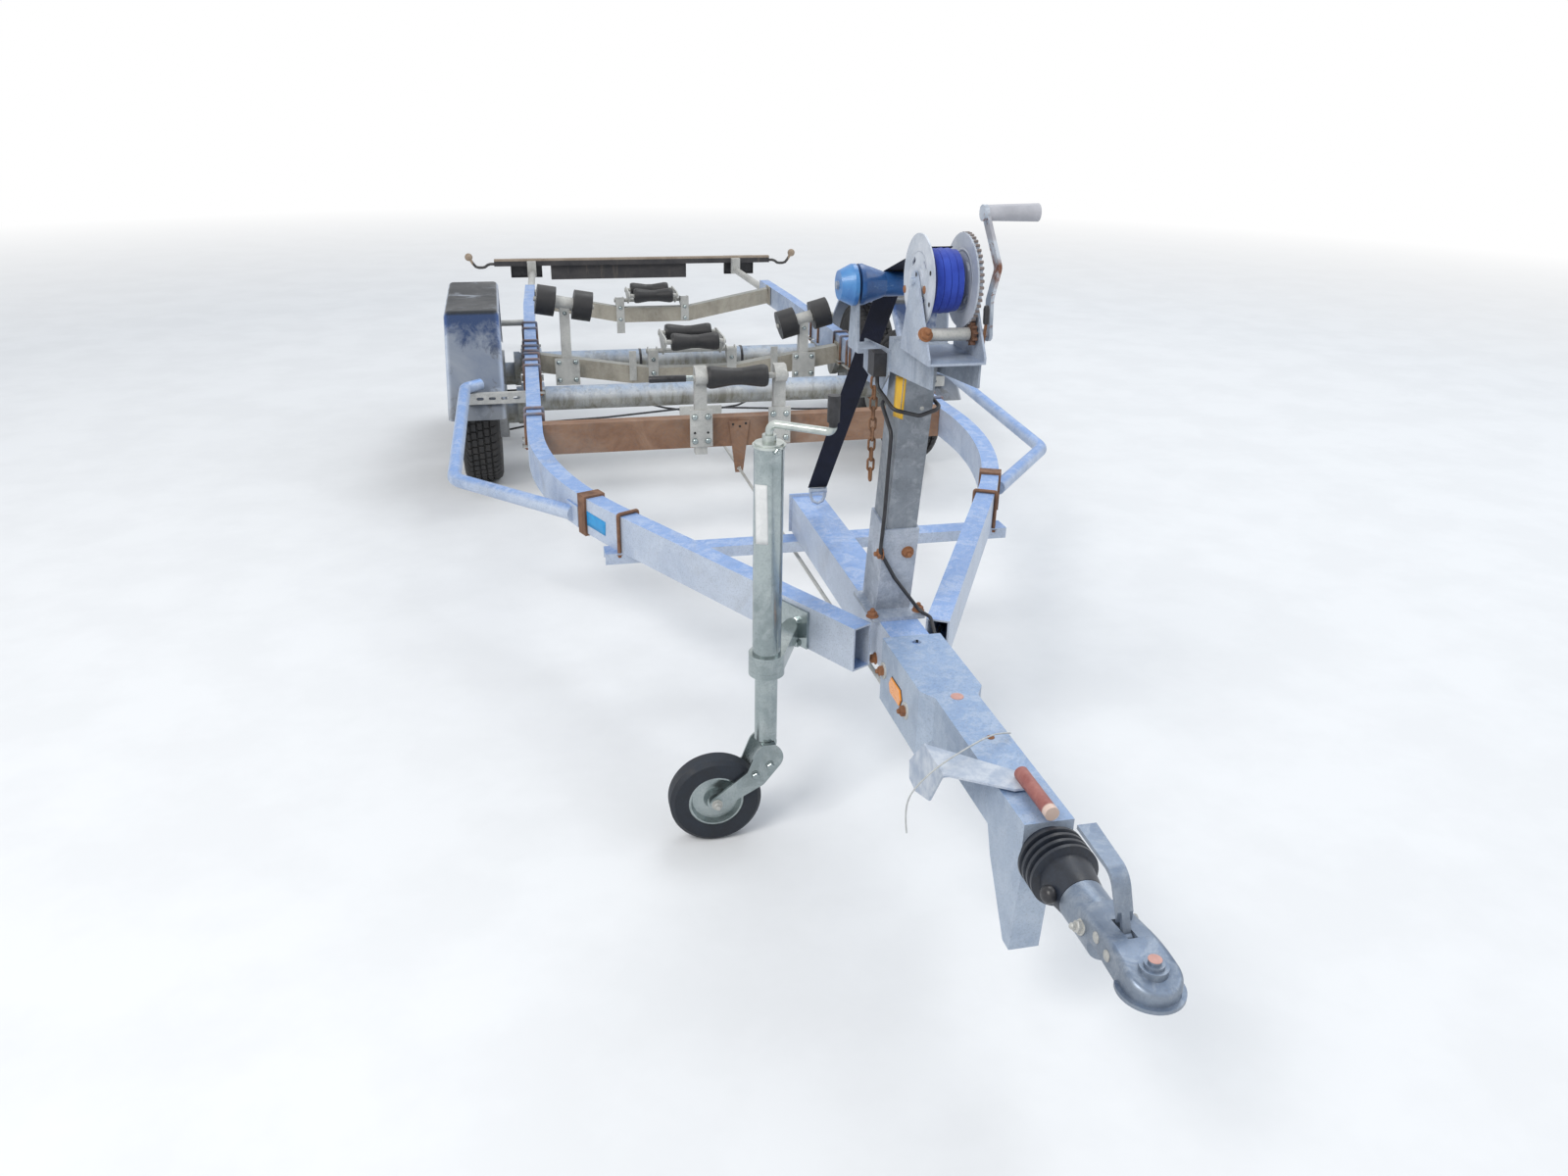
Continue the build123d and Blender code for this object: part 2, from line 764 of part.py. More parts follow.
# Ribbed rubber sleeve over the draw tube
sleeve_front = 200
sleeve_back = housing_front_end - 0.3
sleeve_bore = drawtube_radius + 0.3
sleeve_cone_back = 252
sleeve_front_radius = 36
sleeve_cone_radius = 44
sleeve_crest_radius = 55
sleeve_ribs = 4
sleeve_collar = 12
with BuildPart() as bellows:
    with BuildSketch(Plane.YZ):
        with BuildLine():
            rib_pitch = (sleeve_back - sleeve_collar - sleeve_cone_back) / sleeve_ribs
            outline = [(sleeve_front, sleeve_front_radius)]
            for n in range(sleeve_ribs):
                rib_start = sleeve_cone_back + n * rib_pitch
                outline.append((rib_start, sleeve_cone_radius))
                outline.append((rib_start + rib_pitch * 0.3, sleeve_crest_radius))
                outline.append((rib_start + rib_pitch * 0.7, sleeve_crest_radius))
            outline.append((sleeve_back - sleeve_collar, sleeve_cone_radius))
            outline.append((sleeve_back, sleeve_cone_radius))
            outline.append((sleeve_back, sleeve_bore))
            outline.append((sleeve_front, sleeve_bore))
            Polyline([(behind(d), drawtube_height + r) for d, r in outline], close=True)
        make_face()
    revolve(axis=Axis((0, 0, drawtube_height), (0, 1, 0)))
bellows.part.label = "bellows"
export_step(bellows.part, "parts/bellows.step")

# Coupling head: rounded tongue over the socket, a slot for the handle, a collar round the draw
# tube and the draw tube that slides in the housing
socket_radius = ball_radius + socket_clearance
socket_mouth = ball_height - 9
socket_straight = 16
tongue_nose_radius = 40
tongue_width = 66
tongue_back = 150
tongue_back_top = 474
tongue_crown = (70, 484)
tongue_nose_top = 468
tongue_edge_radius = 9
skirt_radius = 47
skirt_height = 6
skirt_back = 20
collar_radius_behind = 36
collar_front = 110
neck_end = 199
handle_slot = (56, 104, 15)
slot_depth = 10
pin_sink = 2
ball_room = 40
handle_pin = (72, 472)
handle_pin_radius = 4
lock_boss = ((20, 487), (14, 492), (9, 497))
drawtube_back = 900
with BuildPart() as coupling_head:
    with BuildSketch(Plane.XY.offset(socket_mouth)):
        with Locations((0, behind(0))):
            Circle(tongue_nose_radius)
        with Locations((0, behind((tongue_back + tongue_crown[0]) / 2))):
            Rectangle(tongue_width, tongue_back - tongue_crown[0])
        make_hull()
    extrude(amount=lock_boss[0][1] - socket_mouth)
    with BuildSketch(Plane.YZ.offset(-tongue_width)):
        with BuildLine():
            crown_line = Line(
                (behind(tongue_back), tongue_back_top),
                (behind(tongue_crown[0]), tongue_crown[1]),
            )
            crown_arc = TangentArc(
                crown_line @ 1,
                (behind(-tongue_nose_radius), tongue_nose_top),
                tangent=crown_line % 1,
            )
            Polyline(
                crown_arc @ 1,
                (behind(-tongue_nose_radius), socket_mouth),
                (behind(tongue_back), socket_mouth),
                crown_line @ 0,
            )
        make_face()
    extrude(amount=2 * tongue_width, mode=Mode.INTERSECT)
    crown_rim = [
        edge
        for face in coupling_head.faces()
        if face.normal_at().Z > 0.9
        for edge in face.edges()
        if abs(edge.center().X) > tongue_edge_radius or edge.center().Y < behind(0)
    ]
    fillet(crown_rim, tongue_edge_radius)
    # Skirt round the nose
    with BuildSketch(Plane.XY.offset(socket_mouth)):
        with Locations((0, behind(0))):
            Circle(skirt_radius)
        with Locations((0, behind(skirt_back))):
            Rectangle(
                4 * skirt_radius,
                4 * skirt_radius,
                align=(Align.CENTER, Align.MIN),
                mode=Mode.SUBTRACT,
            )
    extrude(amount=skirt_height)
    # Collar over the draw tube's end, below and behind the tongue
    with BuildSketch(Plane.XZ.offset(-behind(neck_end))):
        with Locations((0, drawtube_height)):
            Circle(collar_radius_behind)
    extrude(amount=neck_end - collar_front)
    with BuildSketch(Plane.XZ.offset(-behind(neck_end - seat))):
        with Locations((0, drawtube_height)):
            Circle(drawtube_radius)
    extrude(amount=-(drawtube_back - neck_end))
    # Stepped boss of the wear pin
    for step_of_boss, boss_top in lock_boss:
        with BuildSketch(Plane.XY.offset(tongue_nose_top)):
            with Locations((0, behind(0))):
                Circle(step_of_boss)
        extrude(amount=boss_top - tongue_nose_top)
    # Slot for the handle, with the handle's pin across it
    slot_front, slot_back, slot_width = handle_slot
    with Locations((0, behind(slot_front), handle_pin[1] - slot_depth)):
        Box(
            slot_width,
            slot_back - slot_front,
            4 * slot_depth,
            align=(Align.CENTER, Align.MIN, Align.MIN),
            mode=Mode.SUBTRACT,
        )
    with BuildSketch(Plane.YZ.offset(-slot_width / 2 - pin_sink)):
        with Locations((behind(handle_pin[0]), handle_pin[1])):
            Circle(handle_pin_radius)
    extrude(amount=slot_width + 2 * pin_sink)
    # The ball's place, kept free below the mouth as well
    with BuildSketch(Plane.XY.offset(socket_mouth - ball_room)):
        with Locations((0, behind(0))):
            Circle(socket_radius)
    extrude(amount=ball_room + socket_straight, mode=Mode.SUBTRACT)
    with Locations((0, behind(0), ball_height)):
        Sphere(socket_radius, mode=Mode.SUBTRACT)
coupling_head.part.label = "coupling_head"
export_step(coupling_head.part, "parts/coupling_head.step")

# Coupling handle: hooked on its pin in the slot, steep ahead and bent back over the sleeve
handle_sheet = 7
handle_root_radius = 8
handle_root_width = 12
handle_corners = ((handle_pin[0], handle_pin[1]), (84, 500), (112, 551), (216, 558))
handle_bends = (20, 34)
handle_plan = ((84, 12), (100, 13), (216, 15))
with BuildPart() as coupling_handle:
    with BuildSketch(Plane.YZ.offset(-handle_plan[-1][1])):
        with BuildLine() as handle_line:
            FilletPolyline(
                [(behind(d), z) for d, z in handle_corners], radius=list(handle_bends)
            )
        trace(handle_line.line, line_width=handle_sheet)
        with Locations((behind(handle_pin[0]), handle_pin[1])):
            Circle(handle_root_radius)
            Circle(handle_pin_radius + running, mode=Mode.SUBTRACT)
    extrude(amount=2 * handle_plan[-1][1])
    with BuildSketch(Plane.XY.offset(handle_pin[1] - 2 * handle_root_radius)):
        with BuildLine():
            edge_points = [(handle_root_width / 2, 0), (handle_root_width / 2, handle_plan[0][0])]
            edge_points += [(half, d) for d, half in handle_plan]
            Polyline(
                [(x, behind(d)) for x, d in edge_points]
                + [(-x, behind(d)) for x, d in reversed(edge_points)],
                close=True,
            )
        make_face()
    extrude(amount=handle_plan[-1][0], mode=Mode.INTERSECT)
coupling_handle.part.label = "coupling_handle"
export_step(coupling_handle.part, "parts/coupling_handle.step")

# Brake linkage: rod from a lever under the housing through the hanging eye to the equaliser
rod_radius = 5
rod_start = (1000, 343)
rod_lever = (10, 28, 32)
rod_eye_height = rail_bottom - bracket_drop + bracket_eye_rise
rod_slope = (rod_eye_height - rod_start[1]) / (keel_beam_behind_ball - 28 - rod_start[0])
rod_end_behind_ball = 3545
rod_end_height = rod_start[1] + rod_slope * (rod_end_behind_ball - rod_start[0])
equaliser = (170, 10, 34)
with BuildPart() as brake_linkage:
    with BuildLine() as rod_line:
        Line(
            (bracket_x, behind(rod_start[0]), rod_start[1]),
            (bracket_x, behind(rod_end_behind_ball), rod_end_height),
        )
    with BuildSketch(Plane(origin=rod_line.line @ 0, z_dir=rod_line.line % 0)):
        Circle(rod_radius)
    sweep(path=rod_line.line)
    with Locations((bracket_x, behind(rod_start[0]), housing_rear_bottom - seat)):
        Box(*rod_lever, align=(Align.CENTER, Align.CENTER, Align.MAX))
    with Locations((bracket_x, behind(rod_end_behind_ball), rod_end_height)):
        Box(*equaliser)
brake_linkage.part.label = "brake_linkage"
export_step(brake_linkage.part, "parts/brake_linkage.step")

# Jockey wheel stand: clamp on the right rail, outer tube, crank, inner tube, fork and wheel
clamp_along = 187
guide_height = 40
clamp_plate = (95, 88, 6)
clamp_arm = 14
collar_radius = 38
collar_height = 36
collar_bottom = 404
clamp_point = rail_lines["right"].position_at(
    clamp_along, position_mode=PositionMode.LENGTH
)
clamp_run = rail_lines["right"].tangent_at(
    clamp_along, position_mode=PositionMode.LENGTH
)
clamp_outward = Vector(-clamp_run.Y, clamp_run.X, 0)
clamp_face = Plane(
    origin=clamp_point + clamp_outward * (rail_width / 2 + seat),
    x_dir=clamp_run,
    z_dir=clamp_outward,
)
jockey_place = (jockey_x, behind(jockey_behind_ball))
with BuildPart() as jockey_clamp:
    with BuildSketch(clamp_face.offset(0)):
        with Locations((0, 5)):
            Rectangle(clamp_plate[0], clamp_plate[1])
    extrude(amount=clamp_plate[2])
    with BuildSketch(Plane.XY.offset(collar_bottom)):
        with Locations(jockey_place):
            Circle(collar_radius)
        plate_end = clamp_face.origin + clamp_outward * 2
        with Locations((plate_end.X, plate_end.Y)):
            Circle(clamp_arm)
        make_hull()
        with Locations(jockey_place):
            Circle(jockey_outer_radius + seat, mode=Mode.SUBTRACT)
    extrude(amount=collar_height)
    with BuildSketch(clamp_face):
        with Locations((0, 5)):
            Rectangle(2 * clamp_plate[0], 2 * clamp_plate[1])
    extrude(amount=-2 * clamp_arm, mode=Mode.SUBTRACT)
jockey_clamp.part.label = "jockey_clamp"
export_step(jockey_clamp.part, "parts/jockey_clamp.step")

with BuildPart() as jockey_outer_tube:
    with BuildSketch(Plane.XY.offset(jockey_tube_bottom)):
        with Locations(jockey_place):
            Circle(jockey_outer_radius)
            Circle(jockey_outer_radius - jockey_wall, mode=Mode.SUBTRACT)
    extrude(amount=jockey_tube_top - jockey_tube_bottom)
    # Guide bush for the inner tube
    with BuildSketch(Plane.XY.offset(jockey_tube_bottom)):
        with Locations(jockey_place):
            Circle(jockey_outer_radius - jockey_wall)
            Circle(jockey_inner_radius + running, mode=Mode.SUBTRACT)
    extrude(amount=guide_height)
    # Flange under the clamp's collar
    with BuildSketch(Plane.XY.offset(jockey_tube_bottom)):
        with Locations(jockey_place):
            Circle(collar_radius)
            Circle(jockey_outer_radius - 1, mode=Mode.SUBTRACT)
    extrude(amount=collar_bottom - seat - jockey_tube_bottom)
jockey_outer_tube.part.label = "jockey_outer_tube"
export_step(jockey_outer_tube.part, "parts/jockey_outer_tube.step")

# Cap with the crank: arm towards the middle and an upright knob
cap_steps = ((33, 5), (29, 9), (14, 24))
cap_height = cap_steps[-1][1]
crank_stem_radius = 8
crank_end = (-183, 1000)
crank_height = 931
knob_top = 1002
knob_radius = 12
with BuildPart() as jockey_crank:
    for cap_radius, cap_rise in cap_steps:
        with BuildSketch(Plane.XY.offset(jockey_tube_top + seat)):
            with Locations(jockey_place):
                Circle(cap_radius)
        extrude(amount=cap_rise)
    with BuildLine() as crank_line:
        FilletPolyline(
            (*jockey_place, jockey_tube_top + cap_height - 4),
            (*jockey_place, crank_height),
            (crank_end[0], behind(crank_end[1]), crank_height),
            (crank_end[0], behind(crank_end[1]), crank_height + 30),
            radius=[16, 12],
        )
    with BuildSketch(Plane(origin=crank_line.line @ 0, z_dir=crank_line.line % 0)):
        Circle(crank_stem_radius)
    sweep(path=crank_line.line)
    with BuildSketch(Plane.XY.offset(crank_height + 20)):
        with Locations((crank_end[0], behind(crank_end[1]))):
            Circle(knob_radius)
    extrude(amount=knob_top - crank_height - 20)
jockey_crank.part.label = "jockey_crank"
export_step(jockey_crank.part, "parts/jockey_crank.step")

jockey_travel = 0.14
inner_tube_bottom = 236
inner_tube_top = 690
fork_pin_radius = 11
fork_pin_length = 15
bush_height = 30
with BuildPart() as jockey_inner_tube:
    with BuildSketch(Plane.XY.offset(inner_tube_bottom)):
        with Locations(jockey_place):
            Circle(jockey_inner_radius)
            Circle(jockey_inner_radius - jockey_wall, mode=Mode.SUBTRACT)
    extrude(amount=inner_tube_top - inner_tube_bottom)
    with BuildSketch(Plane.XY.offset(inner_tube_bottom)):
        with Locations(jockey_place):
            Circle(jockey_inner_radius - jockey_wall)
            Circle(fork_pin_radius + running, mode=Mode.SUBTRACT)
    extrude(amount=bush_height)
jockey_inner_tube.part.label = "jockey_inner_tube"
export_step(jockey_inner_tube.part, "parts/jockey_inner_tube.step")

fork_sheet = 5
fork_inner_half = jockey_wheel_width / 2 + 5
fork_top = inner_tube_bottom - spin_gap
fork_bridge = 30
jockey_axle_radius = 8
jockey_rim_radius = 60
wheel_centre_x = jockey_x - jockey_trail
cheek_circles = (
    (jockey_x, fork_top - 32, 32),
    (jockey_x - 26, fork_top - 78, 24),
    (wheel_centre_x, jockey_wheel_radius, 15),
)
with BuildPart() as jockey_fork:
    with Locations((*jockey_place, fork_top)):
        Box(
            fork_bridge,
            2 * (fork_inner_half + fork_sheet),
            fork_sheet,
            align=(Align.CENTER, Align.CENTER, Align.MAX),
        )
    with BuildSketch(Plane.XY.offset(fork_top)):
        with Locations(jockey_place):
            Circle(fork_pin_radius)
    extrude(amount=fork_pin_length)
    for cheek_start in (-fork_inner_half - fork_sheet, fork_inner_half):
        cheek_plane = Plane.XZ.offset(-jockey_place[1] + cheek_start)
        for upper, lower in zip(cheek_circles, cheek_circles[1:]):
            with BuildSketch(cheek_plane):
                for x, z, radius in (upper, lower):
                    with Locations((x, z)):
                        Circle(radius)
                make_hull()
            extrude(amount=fork_sheet)
    with BuildSketch(Plane.XZ.offset(-jockey_place[1] - fork_inner_half)):
        with Locations((wheel_centre_x, jockey_wheel_radius)):
            Circle(jockey_axle_radius)
    extrude(amount=2 * fork_inner_half)
jockey_fork.part.label = "jockey_fork"
export_step(jockey_fork.part, "parts/jockey_fork.step")

jockey_wheel_plane = Plane.XZ.offset(-jockey_place[1] - jockey_wheel_width / 2)
jockey_hub_radius = 20
jockey_rim_half = jockey_wheel_width / 2 - 3
jockey_dish_half = 8
with BuildPart() as jockey_rim:
    with BuildSketch(
        Plane(
            origin=(wheel_centre_x, jockey_place[1], jockey_wheel_radius),
            x_dir=(0, 0, 1),
            z_dir=(-1, 0, 0),
        )
    ):
        with BuildLine():
            Polyline(
                (jockey_axle_radius + running, -jockey_rim_half - 1),
                (jockey_hub_radius, -jockey_rim_half - 1),
                (jockey_hub_radius + 6, -jockey_dish_half),
                (jockey_rim_radius - 10, -jockey_dish_half),
                (jockey_rim_radius - 5, -jockey_rim_half),
                (jockey_rim_radius, -jockey_rim_half),
                (jockey_rim_radius, jockey_rim_half),
                (jockey_rim_radius - 5, jockey_rim_half),
                (jockey_rim_radius - 10, jockey_dish_half),
                (jockey_hub_radius + 6, jockey_dish_half),
                (jockey_hub_radius, jockey_rim_half + 1),
                (jockey_axle_radius + running, jockey_rim_half + 1),
                close=True,
            )
        make_face()
    revolve(axis=Axis((wheel_centre_x, 0, jockey_wheel_radius), (0, 1, 0)))
jockey_rim.part.label = "jockey_rim"
export_step(jockey_rim.part, "parts/jockey_rim.step")

with BuildPart() as jockey_tyre:
    with BuildSketch(jockey_wheel_plane):
        with Locations((wheel_centre_x, jockey_wheel_radius)):
            Circle(jockey_wheel_radius)
            Circle(jockey_rim_radius + seat, mode=Mode.SUBTRACT)
    extrude(amount=jockey_wheel_width)
    chamfer(jockey_tyre.faces().filter_by(Axis.Y).edges().group_by(SortBy.LENGTH)[-1], 9)
jockey_tyre.part.label = "jockey_tyre"
export_step(jockey_tyre.part, "parts/jockey_tyre.step")

# Winch post: base plate and leaning socket, the post itself and the table on top
base_plate_front = 1085
base_plate_back = 1235
base_plate_half = 58
base_plate_bottom = rail_top + seat
base_plate_top = base_plate_bottom + base_plate
table_under = table_top - table_sheet
post_plane = Plane(
    origin=(0, behind(post_base_behind_ball), base_plate_top),
    x_dir=(1, 0, 0),
    z_dir=(0, -sin(radians(post_lean)), cos(radians(post_lean))),
)
socket_width = post_width + 2 * (socket_sheet + seat)
socket_depth = post_depth + 2 * (socket_sheet + seat)
with BuildPart() as winch_post_socket:
    with BuildSketch(post_plane.offset(-20)):
        Rectangle(socket_width, socket_depth)
        Rectangle(post_width + 2 * seat, post_depth + 2 * seat, mode=Mode.SUBTRACT)
    extrude(amount=socket_height + 20)
    split(bisect_by=Plane.XY.offset(base_plate_top - 1), keep=Keep.TOP)
    with Locations(
        (0, behind((base_plate_front + base_plate_back) / 2), base_plate_bottom)
    ):
        Box(
            2 * base_plate_half,
            base_plate_back - base_plate_front,
            base_plate,
            align=(Align.CENTER, Align.CENTER, Align.MIN),
        )
winch_post_socket.part.label = "winch_post_socket"
export_step(winch_post_socket.part, "parts/winch_post_socket.step")

with BuildPart() as winch_post:
    with BuildSketch(post_plane.offset(-20)):
        Rectangle(post_width, post_depth)
        Rectangle(post_width - 2 * post_wall, post_depth - 2 * post_wall, mode=Mode.SUBTRACT)
    extrude(amount=table_top - base_plate_top + 60)
    split(bisect_by=Plane.XY.offset(base_plate_top + seat), keep=Keep.TOP)
    split(bisect_by=Plane.XY.offset(table_under - seat), keep=Keep.BOTTOM)
winch_post.part.label = "winch_post"
export_step(winch_post.part, "parts/winch_post.step")

# Table: inverted channel, with the bow roller's side plates and arms
table_flange_front = 1040
table_flange_back = 1018
roller_plate_back = 1262
roller_plate_bottom = 970
roller_plate_top = 1050
roller_plate_sheet = 4
bow_axis = (1195, 1170)
bow_arm_x = 90
bow_arm_sheet = 4
bow_pin_radius = 8
bow_pin_half = 133
bow_flange_radius = 40
bow_waist_radius = 24
bow_waist_half = 36
chain_hole = (1185, 990)
chain_hole_radius = 3.4
with BuildPart() as winch_table:
    with BuildSketch(Plane.YZ.offset(-table_width / 2)):
        with BuildLine():
            Polyline(
                (behind(table_front), table_top),
                (behind(table_back), table_top),
                (behind(table_back), table_flange_back),
                (behind(table_front), table_flange_front),
                close=True,
            )
        make_face()
    extrude(amount=table_width)
    with BuildSketch(Plane.XZ.offset(-behind(table_front - 1))):
        with Locations((0, table_under)):
            Rectangle(
                table_width - 2 * table_sheet,
                table_top,
                align=(Align.CENTER, Align.MAX),
            )
    extrude(amount=-(table_back - table_front + 2), mode=Mode.SUBTRACT)
    for sign in sides.values():
        with BuildSketch(Plane.YZ.offset(sign * table_width / 2)):
            with BuildLine():
                Polyline(
                    (behind(table_back - 15), roller_plate_top + 12),
                    (behind(roller_plate_back), roller_plate_top),
                    (behind(roller_plate_back), roller_plate_bottom + 20),
                    (behind(table_back + 30), roller_plate_bottom),
                    (behind(table_back - 15), table_flange_back - 6),
                    close=True,
                )
            make_face()
        extrude(amount=sign * roller_plate_sheet)
        with BuildSketch(Plane.YZ.offset(sign * table_width / 2)):
            with Locations((behind(bow_axis[0]), roller_plate_top)):
                Rectangle(70, 2 * roller_plate_sheet, align=(Align.CENTER, Align.MAX))
        extrude(amount=sign * (bow_arm_x + bow_arm_sheet - table_width / 2))
        with BuildSketch(Plane.YZ.offset(sign * bow_arm_x)):
            with Locations((behind(bow_axis[0]), bow_axis[1])):
                Circle(20)
            with Locations((behind(bow_axis[0]), roller_plate_top - 4)):
                Rectangle(70, 8)
            make_hull()
        extrude(amount=sign * bow_arm_sheet)
    with BuildSketch(Plane.YZ.offset(-bow_pin_half)):
        with Locations((behind(bow_axis[0]), bow_axis[1])):
            Circle(bow_pin_radius)
    extrude(amount=2 * bow_pin_half)
    with BuildSketch(Plane.YZ.offset(-table_width / 2 + 1)):
        with Locations((behind(chain_hole[0]), chain_hole[1])):
            Circle(chain_hole_radius)
    extrude(amount=-roller_plate_sheet - 2, mode=Mode.SUBTRACT)
winch_table.part.label = "winch_table"
export_step(winch_table.part, "parts/winch_table.step")

# Bow roller: waisted spool between the arms and a cup outside each arm
bow_spool_half = bow_arm_x - spin_gap
bow_cup_start = bow_arm_x + bow_arm_sheet + spin_gap
bow_cup_end = 128
with BuildPart() as bow_roller:
    with BuildSketch(Plane(origin=(0, behind(bow_axis[0]), bow_axis[1]), x_dir=(0, 0, 1), z_dir=(0, 1, 0))):
        with BuildLine():
            Polyline(
                (bow_pin_radius + running, -bow_spool_half),
                (bow_flange_radius, -bow_spool_half),
                (bow_flange_radius, -bow_spool_half + 8),
                (bow_waist_radius, -bow_waist_half),
                (bow_waist_radius, bow_waist_half),
                (bow_flange_radius, bow_spool_half - 8),
                (bow_flange_radius, bow_spool_half),
                (bow_pin_radius + running, bow_spool_half),
                close=True,
            )
        make_face()
        for sign in sides.values():
            with BuildLine():
                Polyline(
                    (bow_pin_radius + running, sign * bow_cup_start),
                    (bow_flange_radius, sign * bow_cup_start),
                    (bow_flange_radius, sign * (bow_cup_start + 8)),
                    (bow_flange_radius - 12, sign * bow_cup_end),
                    (bow_pin_radius + running, sign * bow_cup_end),
                    close=True,
                )
            make_face()
    revolve(axis=Axis((0, behind(bow_axis[0]), bow_axis[1]), (1, 0, 0)))
bow_roller.part.label = "bow_roller"
export_step(bow_roller.part, "parts/bow_roller.step")

# Winch: frame with side plates, drum with the large gear, and crank with the pinion
frame_left = -58
frame_right = 45
frame_sheet = 4
frame_front = 849
frame_back = 1004
frame_bottom = table_top + seat
drum_bolt_radius = 7
drum_bolt_head = 6
plate_apex_radius = 18
plate_shaft_radius = 20
plate_foot = 12
pinion_shaft_radius = 8
gear_width = 8
gear_module = 2 * hypot(
    drum_axis[0] - pinion_axis[0], drum_axis[1] - pinion_axis[1]
) / (gear_teeth + pinion_teeth)
gear_radius = gear_module * gear_teeth / 2
mesh_direction = atan2(drum_axis[1] - pinion_axis[1], drum_axis[0] - pinion_axis[0])
boss_ring = 27
drum_boss = 3
disc_slot_ring = 42
disc_slots = 4
disc_slot = (20, 9)
pinion_radius = gear_module * pinion_teeth / 2
drum_place = (behind(drum_axis[0]), drum_axis[1])
pinion_place = (behind(pinion_axis[0]), pinion_axis[1])
with BuildPart() as winch_frame:
    with Locations((frame_left, behind(frame_front), frame_bottom)):
        Box(
            frame_right + frame_sheet - frame_left,
            frame_back - frame_front,
            frame_sheet,
            align=(Align.MIN, Align.MIN, Align.MIN),
        )
    for plate_x in (frame_left, frame_right):
        with BuildSketch(Plane.YZ.offset(plate_x)):
            with Locations(drum_place):
                Circle(plate_apex_radius)
            with Locations(pinion_place):
                Circle(plate_shaft_radius)
            with Locations((behind(frame_front), frame_bottom)):
                Rectangle(frame_back - frame_front, plate_foot, align=(Align.MIN, Align.MIN))
            make_hull()
            with Locations(pinion_place):
                Circle(pinion_shaft_radius + running, mode=Mode.SUBTRACT)
        extrude(amount=frame_sheet)
    with BuildSketch(Plane.YZ.offset(frame_left - drum_bolt_head)):
        with Locations(drum_place):
            Circle(drum_bolt_radius)
    extrude(amount=frame_right + frame_sheet - frame_left + 2 * drum_bolt_head)
winch_frame.part.label = "winch_frame"
export_step(winch_frame.part, "parts/winch_frame.step")

drum_core_radius = 20
with BuildPart() as winch_drum:
    for start, length, radius in (
        (drum_left, disc_sheet, disc_radius),
        (drum_left, drum_right - drum_left, drum_core_radius),
        (drum_right - disc_sheet, disc_sheet, disc_radius),
        (drum_left - drum_boss, drum_boss + 1, boss_ring),
    ):
        with BuildSketch(Plane.YZ.offset(start)):
            with Locations(drum_place):
                Circle(radius)
        extrude(amount=length)
    with BuildSketch(Plane.YZ.offset(drum_right - 1)):
        with BuildLine():
            Polyline(
                gear_outline(
                    gear_teeth,
                    gear_radius,
                    gear_radius + gear_tip,
                    gear_radius - gear_root,
                    drum_place,
                    mesh_direction + pi + pi / gear_teeth,
                ),
                close=True,
            )
        make_face()
    extrude(amount=gear_width + 1)
    # Lightening holes and slots through the discs
    with BuildSketch(Plane.YZ.offset(drum_left - drum_boss)):
        with Locations(drum_place):
            with PolarLocations(disc_slot_ring, disc_slots, start_angle=45):
                SlotOverall(*disc_slot, rotation=90)
    extrude(
        amount=drum_right + gear_width - drum_left + 2 * drum_boss, mode=Mode.SUBTRACT
    )
    with BuildSketch(Plane.YZ.offset(drum_left - drum_boss)):
        with Locations(drum_place):
            Circle(drum_bolt_radius + running)
    extrude(
        amount=drum_right + gear_width - drum_left + 2 * drum_boss, mode=Mode.SUBTRACT
    )
winch_drum.part.label = "winch_drum"
export_step(winch_drum.part, "parts/winch_drum.step")

coil_radius = 57
strap_width = 50
with BuildPart() as wound_strap:
    coil_left = (drum_left + drum_right) / 2 - strap_width / 2
    with BuildSketch(Plane.YZ.offset(coil_left)):
        with Locations(drum_place):
            Circle(coil_radius)
            Circle(drum_core_radius + seat, mode=Mode.SUBTRACT)
    extrude(amount=strap_width)
wound_strap.part.label = "wound_strap"
export_step(wound_strap.part, "parts/wound_strap.step")

